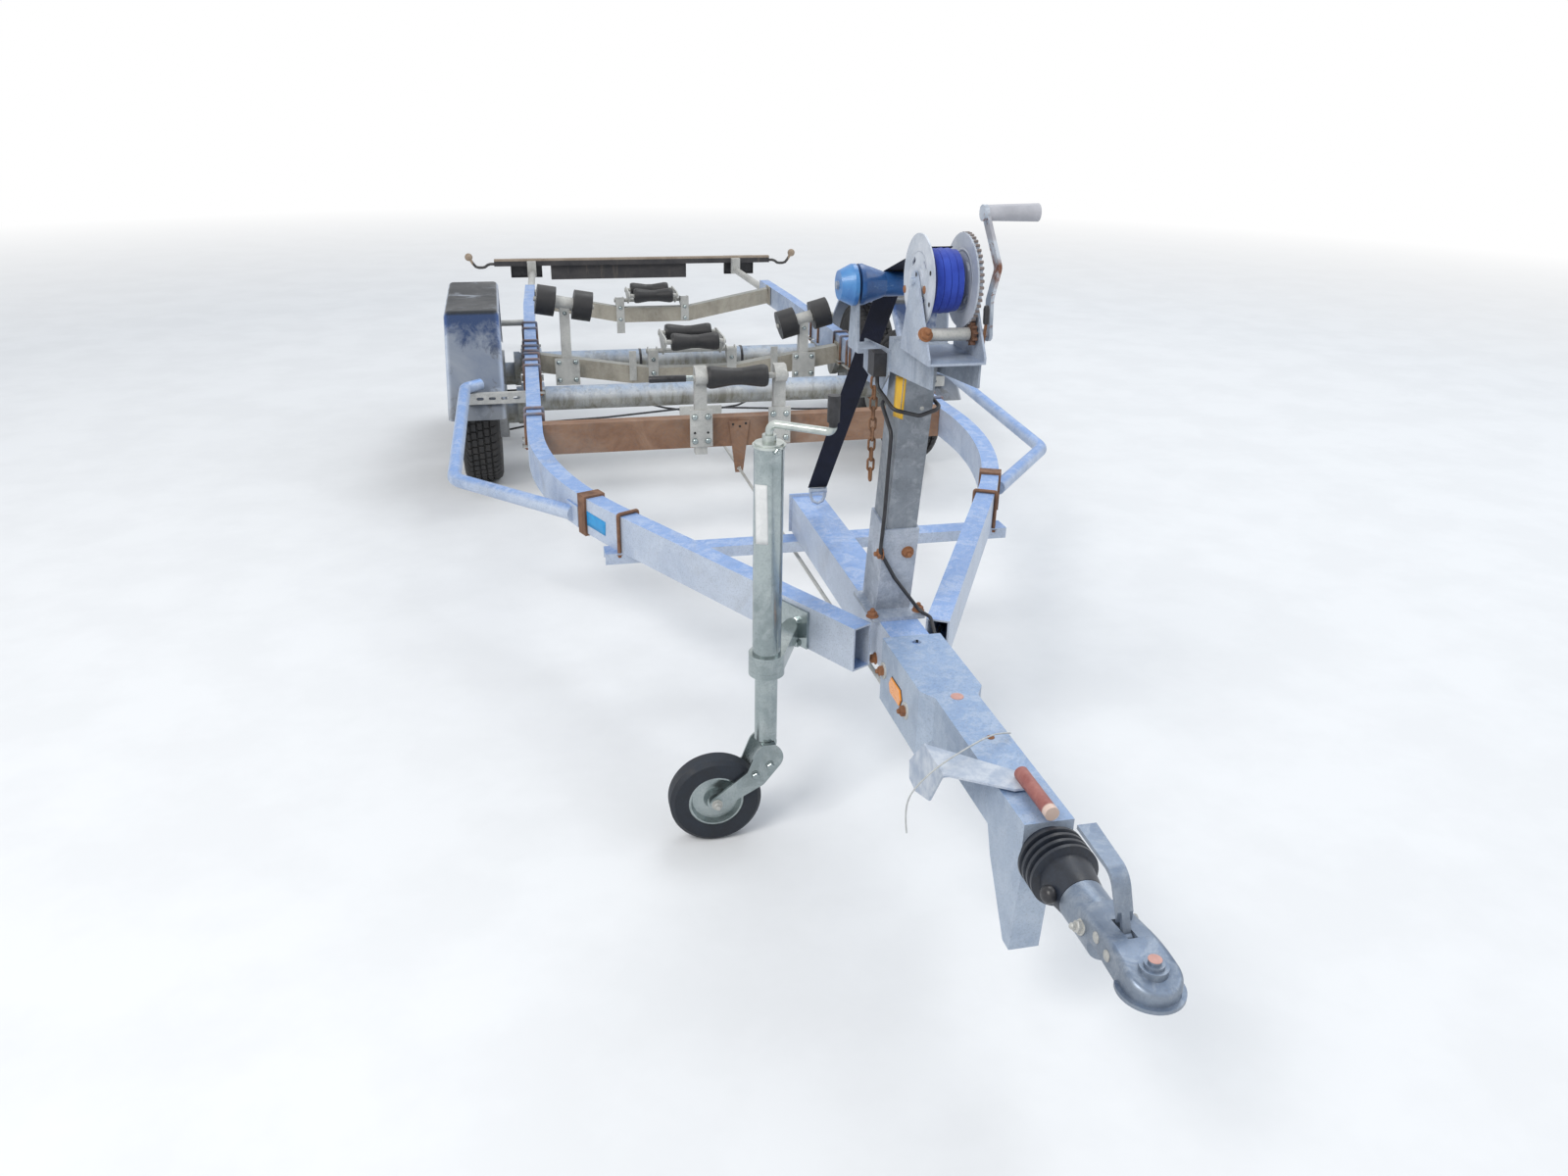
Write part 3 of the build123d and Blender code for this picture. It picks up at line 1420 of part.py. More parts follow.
crank_root = 66
shaft_end = 4
crank_sheet = 6
crank_lean = 10
crank_bar_half = 12
crank_eye_radius = 14
crank_bar_bend = 25
crank_bends = ((69, -10), (71, 58), (86, 112), (57, crank_reach + 12))
crank_grip_radii = (13.5, 15.5)
crank_top = Vector(
    0,
    behind(pinion_axis[0]) + crank_reach * sin(radians(crank_lean)),
    pinion_axis[1] + crank_reach * cos(radians(crank_lean)),
)
grip_inner_x = 60
grip_outer_x = 158
with BuildPart() as winch_crank:
    with BuildSketch(Plane.YZ.offset(frame_left - shaft_end)):
        with Locations(pinion_place):
            Circle(pinion_shaft_radius)
    extrude(amount=crank_root + crank_sheet - frame_left + shaft_end)
    with BuildSketch(Plane.YZ.offset(drum_right + spin_gap)):
        with BuildLine():
            Polyline(
                gear_outline(
                    pinion_teeth,
                    pinion_radius,
                    pinion_radius + pinion_tip,
                    pinion_radius - pinion_root,
                    pinion_place,
                    mesh_direction,
                ),
                close=True,
            )
        make_face()
    extrude(amount=gear_width)
    crank_plane = Plane(
        origin=(0, *pinion_place),
        x_dir=(1, 0, 0),
        z_dir=(0, -cos(radians(crank_lean)), sin(radians(crank_lean))),
    )
    with BuildSketch(crank_plane):
        with BuildLine() as crank_bar:
            FilletPolyline(*crank_bends, radius=[crank_bar_bend, crank_bar_bend])
        trace(crank_bar.line, line_width=crank_sheet)
    extrude(amount=crank_bar_half, both=True)
    with BuildSketch(Plane.YZ.offset(crank_root)):
        with Locations(pinion_place):
            Circle(crank_eye_radius)
    extrude(amount=crank_sheet)
    grip_place = (crank_top.Y, crank_top.Z)
    with BuildSketch(Plane.YZ.offset(crank_bends[-1][0] - crank_sheet / 2)):
        with Locations(grip_place):
            Circle(crank_eye_radius)
    extrude(amount=crank_sheet + 2)
    with BuildSketch(Plane.YZ.offset(grip_inner_x)):
        with Locations(grip_place):
            Circle(crank_grip_radii[0])
    with BuildSketch(Plane.YZ.offset(grip_outer_x)):
        with Locations(grip_place):
            Circle(crank_grip_radii[1])
    loft()
winch_crank.part.label = "winch_crank"
export_step(winch_crank.part, "parts/winch_crank.step")

# Strap from the coil over the bow roller's waist and down to its shackle
strap_sheet = 2.5
strap_gap = 0.3
shackle_place = (1754, 552)
shackle_width = 46
shackle_radius = 8
strap_centre_x = (drum_left + drum_right) / 2
coil_track = coil_radius + strap_gap + strap_sheet / 2
waist_track = bow_waist_radius + strap_gap + strap_sheet / 2
bow_place = (behind(bow_axis[0]), bow_axis[1])
fall_place = (behind(shackle_place[0]), shackle_place[1])


def upper_tangent(start, start_radius, end, end_radius):
    """Points where the upper common tangent line touches two circles, left to right."""
    run = hypot(end[0] - start[0], end[1] - start[1])
    rise = atan2(end[1] - start[1], end[0] - start[0])
    tilt = rise + acos((start_radius - end_radius) / run)
    touch = (cos(tilt), sin(tilt))
    return (
        (start[0] + start_radius * touch[0], start[1] + start_radius * touch[1]),
        (end[0] + end_radius * touch[0], end[1] + end_radius * touch[1]),
    )


leave_coil, meet_waist = upper_tangent(drum_place, coil_track, bow_place, waist_track)
leave_waist, meet_fall = upper_tangent(bow_place, waist_track, fall_place, 0)
with BuildPart() as winch_strap:
    with BuildSketch(Plane.YZ.offset(strap_centre_x - strap_width / 2)):
        with BuildLine() as strap_line:
            Line(leave_coil, meet_waist)
            RadiusArc(meet_waist, leave_waist, waist_track)
            Line(leave_waist, meet_fall)
        trace(strap_line.line, line_width=strap_sheet)
    extrude(amount=strap_width)
    # Steel eye at the strap's end
    with BuildSketch(Plane.YZ.offset(strap_centre_x - shackle_width / 2)):
        with Locations(fall_place):
            Circle(shackle_radius)
    extrude(amount=shackle_width)
winch_strap.part.label = "winch_strap"
export_step(winch_strap.part, "parts/winch_strap.step")

# Safety chain hanging from the hole in the bow roller's right plate
link_wire = 2.5
link_inner_length = 22
link_inner_width = 8
link_pitch = link_inner_length - 0.3
link_count = 10
link_half = (link_inner_width + 2 * link_wire) / 2
link_straight = link_inner_length - link_inner_width
chain_x = -(table_width + roller_plate_sheet) / 2
with BuildPart() as safety_chain:
    for n in range(link_count):
        link_top = chain_hole[1] - n * link_pitch
        across = Vector(0, 1, 0) if n % 2 else Vector(1, 0, 0)
        link_plane = Plane(
            origin=(
                chain_x,
                behind(chain_hole[0]),
                link_top - link_half - link_straight / 2,
            ),
            x_dir=across,
            z_dir=across.cross(Vector(0, 0, 1)),
        )
        with BuildLine(link_plane) as link_line:
            link_side = Line((-link_half, -link_straight / 2), (-link_half, link_straight / 2))
            RadiusArc(link_side @ 1, (link_half, link_straight / 2), link_half)
            Line((link_half, link_straight / 2), (link_half, -link_straight / 2))
            RadiusArc((link_half, -link_straight / 2), link_side @ 0, link_half)
        with BuildSketch(Plane(origin=link_side @ 0, z_dir=link_side % 0)):
            Circle(link_wire)
        sweep(path=link_line.wire())
safety_chain.part.label = "safety_chain"
export_step(safety_chain.part, "parts/safety_chain.step")

# Lighting cable: plug on the table's side, slack turn round the post, down to the left rail's mouth
cable_radius = 4
cable_share = 0.45
cable_bend_most = 18
plug_size = (26, 40, 46)
plug_place = (1125, 1030)
plug_x = -table_width / 2 - roller_plate_sheet - seat
cable_corners = (
    (-63, 1125, 1016), (-63, 1118, 984), (-50, 1050, 955), (0, 1038, 944), (46, 1046, 956),
    (42, 1100, 966), (42, 1158, 960), (-42, 1158, 946), (-42, 1078, 900), (-41, 1096, 720),
    (-45, 1099, 640), (-8, 1107, 575), (50, 1098, 498), (62, 1062, 498), (60, 1018, 472),
    (66, 1040, 440), (111, 1125, 440),
)
with BuildPart() as lighting_cable:
    cable_points = [(x, behind(d), z) for x, d, z in cable_corners]
    with BuildLine() as cable_line:
        FilletPolyline(
            cable_points, radius=cord_radii(cable_points, cable_share, cable_bend_most)
        )
    with BuildSketch(Plane(origin=cable_line.line @ 0, z_dir=cable_line.line % 0)):
        Circle(cable_radius)
    sweep(path=cable_line.line)
    with Locations((plug_x, behind(plug_place[0]), plug_place[1])):
        Box(*plug_size, align=(Align.MAX, Align.CENTER, Align.CENTER))
lighting_cable.part.label = "lighting_cable"
export_step(lighting_cable.part, "parts/lighting_cable.step")

# Brake cables from the equaliser to the wheels' backplates
brake_cable_radius = 4
brake_cable_bend_most = 120
cable_end_gap = 0.5
equaliser_rear = rod_end_behind_ball + equaliser[1] / 2 + cable_end_gap
cable_end_x = boss_outer - brake_cable_radius * 0.5
cable_end_offset = (-28, -70)
brake_routes = {
    "front": ((75, equaliser_rear, 289), (75, 3580, 289), (400, 3600, 262), (650, 3645, 240)),
    "rear": ((38, equaliser_rear, 281), (38, 3590, 277), (150, 3700, 262), (500, 4200, 240)),
}
with BuildPart() as brake_cables:
    for sign in sides.values():
        for place, route in brake_routes.items():
            wheel_place = axles[place] + wheel_behind_axle
            # Near the equaliser the places are taken from its middle
            brake_points = [
                (sign * x + (bracket_x if x < equaliser[0] / 2 else 0), behind(d), z)
                for x, d, z in route
            ]
            brake_points.append(
                (
                    sign * cable_end_x,
                    behind(wheel_place + cable_end_offset[0]),
                    tyre_radius + cable_end_offset[1],
                )
            )
            with BuildLine() as brake_line:
                FilletPolyline(
                    brake_points,
                    radius=cord_radii(brake_points, cable_share, brake_cable_bend_most),
                )
            with BuildSketch(Plane(origin=brake_line.line @ 0, z_dir=brake_line.line % 0)):
                Circle(brake_cable_radius)
            sweep(path=brake_line.line)
brake_cables.part.label = "brake_cables"
export_step(brake_cables.part, "parts/brake_cables.step")

# Brackets of the keel roller, of the side rollers and of the rocking cradles
keel_post_places = (-165, 100)
keel_post_width = 40
keel_post_depth = 30
keel_plate_bottom = 398
keel_post_bottom = 370
keel_post_top = 664
keel_eye_radius = 22
keel_eye_drop = 20
shaft_overhang = 6
keel_roller_centre = -45
keel_roller_axis = (2690, 631)
keel_clamp_plate = (75, 125, 6)
side_posts = {
    "right": ((-535, 660), 9.7),
    "left": ((481, 572), 15.3),
}
side_post_size = 40
side_plate_rise = 8
side_post_tail = 10
side_clamp_plate = (100, 112, 6)
side_roller_offset = 75
side_boss_radius = 26
side_boss_half = side_roller_offset - side_roller_width / 2 - spin_gap
side_spindle_half = side_roller_offset + side_roller_width / 2 + 10
cradles = {
    "middle": {"centre": 0, "pivot": (3980, 440), "reach": 100, "axis": 496},
    "rear": {"centre": -14, "pivot": (5290, 425), "reach": 92, "axis": 462},
}
upright_web = (42, 5)
upright_web_bottom = 323
upright_web_top = 449
upright_flange = 4
upright_tail = 60
beam_bars = {"middle": (-258, 358)}
beam_bar_size = (30, 5, 126)
cradle_half = 127
cradle_bar_sheet = 6
cradle_bar_height = 34
pivot_radius = 10
pivot_eye_radius = 18
upright_gap = 22
keel_pin_place = (behind(keel_roller_axis[0]), keel_roller_axis[1])
middle_beam_front = v_beams["middle"][0] - v_beam_depth / 2
side_post_behind_ball = middle_beam_front - seat - side_post_size / 2


def beam_top(place, x):
    """Height of a V beam's top face at this distance from the middle."""
    middle_top, end_top = v_beams[place][1:]
    half = rail_inner(v_beams[place][0] + v_beam_depth) - end_plate
    slope = atan2(end_top - middle_top, half - v_beam_flat_half)
    rise = (abs(x) - v_beam_flat_half) * tan(slope)
    rise += v_beam_height / 2 * (1 / cos(slope) - 1)
    return middle_top + max(0, rise)


with BuildPart() as roller_brackets:
    beam_face = behind(keel_beam_behind_ball) - keel_beam_depth / 2 - seat
    for post_x in keel_post_places:
        with Locations((post_x, beam_face, keel_post_bottom)):
            Box(
                keel_post_width,
                keel_post_depth,
                keel_post_top - keel_post_bottom,
                align=(Align.CENTER, Align.MAX, Align.MIN),
            )
    with BuildSketch(
        Plane.YZ.offset(keel_post_places[0] - keel_post_width / 2 - shaft_overhang)
    ):
        with Locations(keel_pin_place):
            Circle(roller_pin)
    extrude(
        amount=keel_post_places[1] - keel_post_places[0] + keel_post_width + 2 * shaft_overhang
    )
    for post_x in keel_post_places:
        with BuildSketch(Plane.YZ.offset(post_x - keel_post_width / 2)):
            with Locations(keel_pin_place):
                Circle(keel_eye_radius)
            with Locations((beam_face - keel_post_depth / 2, keel_post_top - keel_eye_drop)):
                Rectangle(keel_post_depth, 2 * keel_eye_drop)
            make_hull()
        extrude(amount=keel_post_width)
        with Locations((post_x, beam_face - keel_post_depth + 1, keel_plate_bottom)):
            Box(
                keel_clamp_plate[0],
                keel_clamp_plate[2] + 1,
                keel_clamp_plate[1],
                align=(Align.CENTER, Align.MAX, Align.MIN),
            )
    for side, (head, tilt) in side_posts.items():
        sign = sides[side]
        post_y = behind(side_post_behind_ball)
        lean = Vector(cos(radians(tilt)), 0, sign * sin(radians(tilt)))
        post_foot = beam_top("middle", head[0]) - v_beam_height - side_post_tail
        with Locations((head[0], post_y, post_foot)):
            Box(
                side_post_size,
                side_post_size,
                head[1] - post_foot,
                align=(Align.CENTER, Align.CENTER, Align.MIN),
            )
        plate_top = beam_top("middle", head[0]) + side_plate_rise
        with Locations((head[0], post_y - side_post_size / 2 + 1, plate_top)):
            Box(
                side_clamp_plate[0],
                side_clamp_plate[2] + 1,
                side_clamp_plate[1],
                align=(Align.CENTER, Align.MAX, Align.MAX),
            )
        spindle_plane = Plane(
            origin=Vector(head[0], post_y, head[1]) - lean * side_spindle_half,
            x_dir=(0, 1, 0),
            z_dir=lean,
        )
        with BuildSketch(spindle_plane):
            Circle(roller_pin)
        extrude(amount=2 * side_spindle_half)
        with BuildSketch(spindle_plane.offset(side_spindle_half - side_boss_half)):
            Circle(side_boss_radius)
        extrude(amount=2 * side_boss_half)
    for place, cradle in cradles.items():
        centre = cradle["centre"]
        pivot_place = (behind(cradle["pivot"][0]), cradle["pivot"][1])
        web_face = behind(v_beams[place][0]) - v_beam_depth / 2 - seat
        web_front = web_face - upright_web[1]
        for sign in sides.values():
            upright_x = centre + sign * (cradle_half + upright_gap)
            tail = upright_tail if place == "rear" and sign < 0 else 0
            with Locations((upright_x, web_face, upright_web_bottom - tail)):
                Box(
                    upright_web[0],
                    upright_web[1],
                    upright_web_top - upright_web_bottom + tail,
                    align=(Align.MIN if sign > 0 else Align.MAX, Align.MAX, Align.MIN),
                )
            for flange_x in (upright_x, upright_x + sign * (upright_web[0] - upright_flange)):
                flange_bottom = beam_top(place, flange_x + sign * upright_flange) + seat
                with BuildSketch(Plane.YZ.offset(flange_x)):
                    with Locations((web_front, flange_bottom)):
                        Rectangle(
                            upright_web[1],
                            upright_web_top - flange_bottom,
                            align=(Align.MIN, Align.MIN),
                        )
                    with Locations(pivot_place):
                        Circle(pivot_eye_radius)
                    make_hull()
                extrude(amount=sign * upright_flange)
        for bar_x in beam_bars.get(place, ()):
            with Locations((bar_x, web_face, upright_web_bottom)):
                Box(*beam_bar_size, align=(Align.CENTER, Align.MAX, Align.MIN))
        shaft_half = cradle_half + upright_gap + upright_web[0] + shaft_overhang
        with BuildSketch(Plane.YZ.offset(centre - shaft_half)):
            with Locations(pivot_place):
                Circle(pivot_radius)
        extrude(amount=2 * shaft_half)
roller_brackets.part.label = "roller_brackets"
export_step(roller_brackets.part, "parts/roller_brackets.step")

# Side rollers, a pair on each post's spindle
for side, (head, tilt) in side_posts.items():
    sign = sides[side]
    lean = Vector(cos(radians(tilt)), 0, sign * sin(radians(tilt)))
    with BuildPart() as side_rollers:
        for offset_along in (-side_roller_offset, side_roller_offset):
            roller_plane = Plane(
                origin=Vector(head[0], behind(side_post_behind_ball), head[1])
                + lean * (offset_along - side_roller_width / 2),
                x_dir=(0, 1, 0),
                z_dir=lean,
            )
            with BuildSketch(roller_plane):
                Circle(side_roller_radius)
                Circle(roller_pin + running, mode=Mode.SUBTRACT)
            extrude(amount=side_roller_width)
    side_rollers.part.label = f"{side}_side_rollers"
    export_step(side_rollers.part, f"parts/{side}_side_rollers.step")


def waisted_roller(centre, length, place):
    """Black keel roller with a waist, on a pin along X."""
    half = length / 2
    with BuildPart() as roller:
        with BuildSketch(
            Plane(origin=(centre, *place), x_dir=(0, 0, 1), z_dir=(0, 1, 0))
        ):
            with BuildLine():
                Polyline(
                    (roller_pin + running, -half),
                    (keel_roller_radius - 4, -half),
                    (keel_roller_radius, -half + 8),
                    (keel_roller_radius, -half + 20),
                    (keel_roller_waist, -15),
                    (keel_roller_waist, 15),
                    (keel_roller_radius, half - 20),
                    (keel_roller_radius, half - 8),
                    (keel_roller_radius - 4, half),
                    (roller_pin + running, half),
                    close=True,
                )
            make_face()
        revolve(axis=Axis((0, *place), (1, 0, 0)))
    return roller.part


front_keel_roller = waisted_roller(keel_roller_centre, keel_roller_length, keel_pin_place)
front_keel_roller.label = "front_keel_roller"
export_step(front_keel_roller, "parts/front_keel_roller.step")

# Keel cradles: a rocking pair of side bars with two rollers over each V beam
for place, cradle in cradles.items():
    centre = cradle["centre"]
    pivot_place = (behind(cradle["pivot"][0]), cradle["pivot"][1])
    axis_height = cradle["axis"]
    with BuildPart() as cradle_part:
        for sign in sides.values():
            bar_x = centre + sign * cradle_half
            with BuildSketch(Plane.YZ.offset(bar_x)):
                with Locations(
                    (pivot_place[0] - cradle["reach"], axis_height),
                    (pivot_place[0] + cradle["reach"], axis_height),
                ):
                    Circle(cradle_bar_height / 2)
                make_hull()
                with Locations(pivot_place):
                    Circle(cradle_bar_height / 2)
                make_hull()
                with Locations(pivot_place):
                    Circle(pivot_radius + running, mode=Mode.SUBTRACT)
            extrude(amount=-sign * cradle_bar_sheet)
        for end in (-1, 1):
            with BuildSketch(Plane.YZ.offset(centre - cradle_half - 4)):
                with Locations((pivot_place[0] + end * cradle["reach"], axis_height)):
                    Circle(roller_pin)
            extrude(amount=2 * cradle_half + 8)
    cradle_part.part.label = f"{place}_cradle"
    export_step(cradle_part.part, f"parts/{place}_cradle.step")
    for name, end in (("front", -1), ("back", 1)):
        cradle_roller = waisted_roller(
            centre,
            keel_roller_length,
            (pivot_place[0] + end * cradle["reach"], axis_height),
        )
        cradle_roller.label = f"{place}_cradle_{name}_roller"
        export_step(cradle_roller, f"parts/{place}_cradle_{name}_roller.step")

# Rail clamps: flat straps round the rails at the tube guards' feet, bars over the rails behind
bolt_radius = 5
wrap_sheet = 6
wrap_length = 40
wrap_along = 1060
wrap_gap = 2 * seat
clamp_places = (872, 2850, 2930, 3570, 3670, 3780, 3830, 3925, 4026, 4290, 4420)
with BuildPart() as rail_clamps:
    for side, sign in sides.items():
        for place in clamp_places:
            if place < rail_front[1]:
                along = place
            else:
                along = rail_lines[side].length - (
                    (rail_back[1] - place)
                    / cos(atan2(rail_shoulder[0] - rail_waist[0], rail_waist[1] - rail_shoulder[1]))
                )
            point = rail_lines[side].position_at(along, position_mode=PositionMode.LENGTH)
            run = rail_lines[side].tangent_at(along, position_mode=PositionMode.LENGTH)
            over = Plane(origin=point, x_dir=(0, 0, 1), z_dir=run)
            reach = rail_width / 2 + seat + bolt_radius
            with BuildLine() as bolt_line:
                FilletPolyline(
                    over.from_local_coords((-rail_height / 2 + seat, -reach, 0)),
                    over.from_local_coords((rail_height / 2 + bolt_radius + seat, -reach, 0)),
                    over.from_local_coords((rail_height / 2 + bolt_radius + seat, reach, 0)),
                    over.from_local_coords((-rail_height / 2 + seat, reach, 0)),
                    radius=[bolt_radius, bolt_radius],
                )
            with BuildSketch(Plane(origin=bolt_line.line @ 0, z_dir=bolt_line.line % 0)):
                Circle(bolt_radius)
            sweep(path=bolt_line.line)
        wrap_point = rail_lines[side].position_at(
            wrap_along, position_mode=PositionMode.LENGTH
        )
        wrap_run = rail_lines[side].tangent_at(
            wrap_along, position_mode=PositionMode.LENGTH
        )
        with BuildSketch(Plane(origin=wrap_point, x_dir=(0, 0, 1), z_dir=wrap_run)):
            Rectangle(
                rail_height + 2 * (wrap_gap + wrap_sheet),
                rail_width + 2 * (wrap_gap + wrap_sheet),
            )
            Rectangle(rail_height + 2 * wrap_gap, rail_width + 2 * wrap_gap, mode=Mode.SUBTRACT)
        extrude(amount=wrap_length / 2, both=True)
rail_clamps.part.label = "rail_clamps"
export_step(rail_clamps.part, "parts/rail_clamps.step")

# Board tubes: clipped in the rails' open ends, with a bracket up to the light board
board_tube_radius = 19
board_tube_inside = 160
board_tube_back = board_behind_ball - 30
board_half = 818
board_bottom = 475
board_top = 514
rail_closing = (rail_back[0] - rail_waist[0]) / (rail_back[1] - rail_waist[1])
with BuildPart() as board_tubes:
    for side, sign in sides.items():
        tube_front = rail_back[1] - board_tube_inside
        ends = [
            (sign * (rail_back[0] + (d - rail_back[1]) * rail_closing), behind(d), rail_mid)
            for d in (tube_front, rail_back[1] + seat, board_tube_back)
        ]
        with BuildLine() as tube_line:
            Line(ends[0], ends[2])
        with BuildSketch(Plane(origin=tube_line.line @ 0, z_dir=tube_line.line % 0)):
            Circle(board_tube_radius)
        sweep(path=tube_line.line)
        cap_plane = Plane(origin=ends[1], x_dir=(0, 0, 1), z_dir=tube_line.line % 0)
        with BuildSketch(cap_plane):
            Rectangle(rail_height, rail_width)
        extrude(amount=end_plate)
        with Locations((ends[2][0], behind(board_behind_ball - seat), rail_mid - 20)):
            Box(
                50,
                board_behind_ball - board_tube_back + 6,
                board_top - rail_mid + 10,
                align=(Align.CENTER, Align.MAX, Align.MIN),
            )
board_tubes.part.label = "board_tubes"
export_step(board_tubes.part, "parts/board_tubes.step")

# Light board with the plate holder, then lamps, connector and reflectors
holder_left = 311
holder_right = -494
holder_bottom = 390
holder_sheet = 3
holder_from_top = 4
lamp_inner = 545
lamp_outer = 725
lamp_bottom = 405
lamp_top = 512
with BuildPart() as light_board:
    with Locations((0, behind(board_behind_ball), board_bottom)):
        Box(
            2 * board_half,
            board_depth,
            board_top - board_bottom,
            align=(Align.CENTER, Align.MIN, Align.MIN),
        )
    holder_top = board_top - holder_from_top
    with Locations(
        ((holder_left + holder_right) / 2, behind(board_behind_ball + board_depth), holder_top)
    ):
        Box(
            holder_left - holder_right,
            holder_sheet,
            holder_top - holder_bottom,
            align=(Align.CENTER, Align.MIN, Align.MAX),
        )
light_board.part.label = "light_board"
export_step(light_board.part, "parts/light_board.step")

marker_reach = 959
marker_height = 528
marker_low = 468
marker_radius = 22
marker_arm_radius = 8
with BuildPart() as lamps_and_reflectors:
    for sign in sides.values():
        with Locations(
            (
                sign * (lamp_inner + lamp_outer) / 2,
                behind(board_behind_ball + board_depth) + seat,
                lamp_bottom,
            )
        ):
            Box(
                lamp_outer - lamp_inner,
                lamp_depth - seat,
                lamp_top - lamp_bottom,
                align=(Align.CENTER, Align.MIN, Align.MIN),
            )
        board_middle = behind(board_behind_ball + board_depth / 2)
        with BuildLine() as arm_line:
            FilletPolyline(
                (sign * (board_half + seat), board_middle, board_bottom + 12),
                (sign * (board_half + 30), board_middle, board_bottom + 12),
                (sign * (board_half + 55), board_middle, marker_low),
                (sign * (board_half + 95), board_middle, marker_low),
                (sign * marker_reach, board_middle, marker_height),
                radius=[15, 15, 30],
            )
        with BuildSketch(Plane(origin=arm_line.line @ 0, z_dir=arm_line.line % 0)):
            Circle(marker_arm_radius)
        sweep(path=arm_line.line)
        # The ball's seam points back, away from where the arm comes in
        with Locations((sign * marker_reach, board_middle, marker_height)):
            Sphere(marker_radius, rotation=(0, 0, 90))
lamps_and_reflectors.part.label = "lamps_and_reflectors"
export_step(lamps_and_reflectors.part, "parts/lamps_and_reflectors.step")
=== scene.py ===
import json
import math
import random

import bpy
from mathutils import Matrix, Vector
from mathutils.bvhtree import BVHTree


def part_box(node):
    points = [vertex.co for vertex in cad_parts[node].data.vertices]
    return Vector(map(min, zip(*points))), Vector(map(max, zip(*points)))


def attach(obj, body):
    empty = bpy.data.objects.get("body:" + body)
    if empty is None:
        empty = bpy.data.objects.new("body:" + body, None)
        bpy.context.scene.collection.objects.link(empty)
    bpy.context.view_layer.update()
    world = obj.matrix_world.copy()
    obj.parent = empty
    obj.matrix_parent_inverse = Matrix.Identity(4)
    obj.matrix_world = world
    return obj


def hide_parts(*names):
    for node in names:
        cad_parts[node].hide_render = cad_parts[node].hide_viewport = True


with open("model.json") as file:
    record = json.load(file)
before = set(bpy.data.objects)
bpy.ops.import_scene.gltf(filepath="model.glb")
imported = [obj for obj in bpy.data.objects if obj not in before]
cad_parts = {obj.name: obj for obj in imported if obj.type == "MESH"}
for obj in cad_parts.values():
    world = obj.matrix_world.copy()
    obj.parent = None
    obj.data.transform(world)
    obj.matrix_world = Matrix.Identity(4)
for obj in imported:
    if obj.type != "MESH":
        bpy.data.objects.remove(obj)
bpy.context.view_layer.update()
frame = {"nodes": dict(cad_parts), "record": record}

nodes = frame["nodes"]
random.seed(11)

ORIGIN_BEHIND_BALL = 3.1025


def behind(distance):
    """Y in metres of a place given in millimetres behind the tow ball."""
    return distance / 1000 - ORIGIN_BEHIND_BALL


# Materials, by name
M = {}


class Tree:
    """Shader nodes under construction; an input takes a socket to link or a plain value."""

    def __init__(self, tree):
        self.tree = tree
        self.tree.nodes.clear()

    def put(self, node, key, value):
        target = node.inputs[key]
        if isinstance(value, bpy.types.NodeSocket):
            self.tree.links.new(value, target)
        else:
            target.default_value = value

    def node(self, kind, inputs=None, **settings):
        node = self.tree.nodes.new(kind)
        for key, value in settings.items():
            setattr(node, key, value)
        for key, value in (inputs or {}).items():
            self.put(node, key, value)
        return node

    def math(self, kind, a, b=0.0):
        return self.node("ShaderNodeMath", {0: a, 1: b}, operation=kind).outputs[0]

    def times(self, first, *others):
        """Product of masks and plain numbers."""
        for other in others:
            first = self.math("MULTIPLY", first, other)
        return first

    def shown(self):
        """1 for what the camera sees, also in a reflection or through a clear body, 0 for light."""
        path = self.node("ShaderNodeLightPath").outputs
        mirrored = self.math("MAXIMUM", path["Is Glossy Ray"], path["Is Transmission Ray"])
        return self.math("MAXIMUM", path["Is Camera Ray"], mirrored)


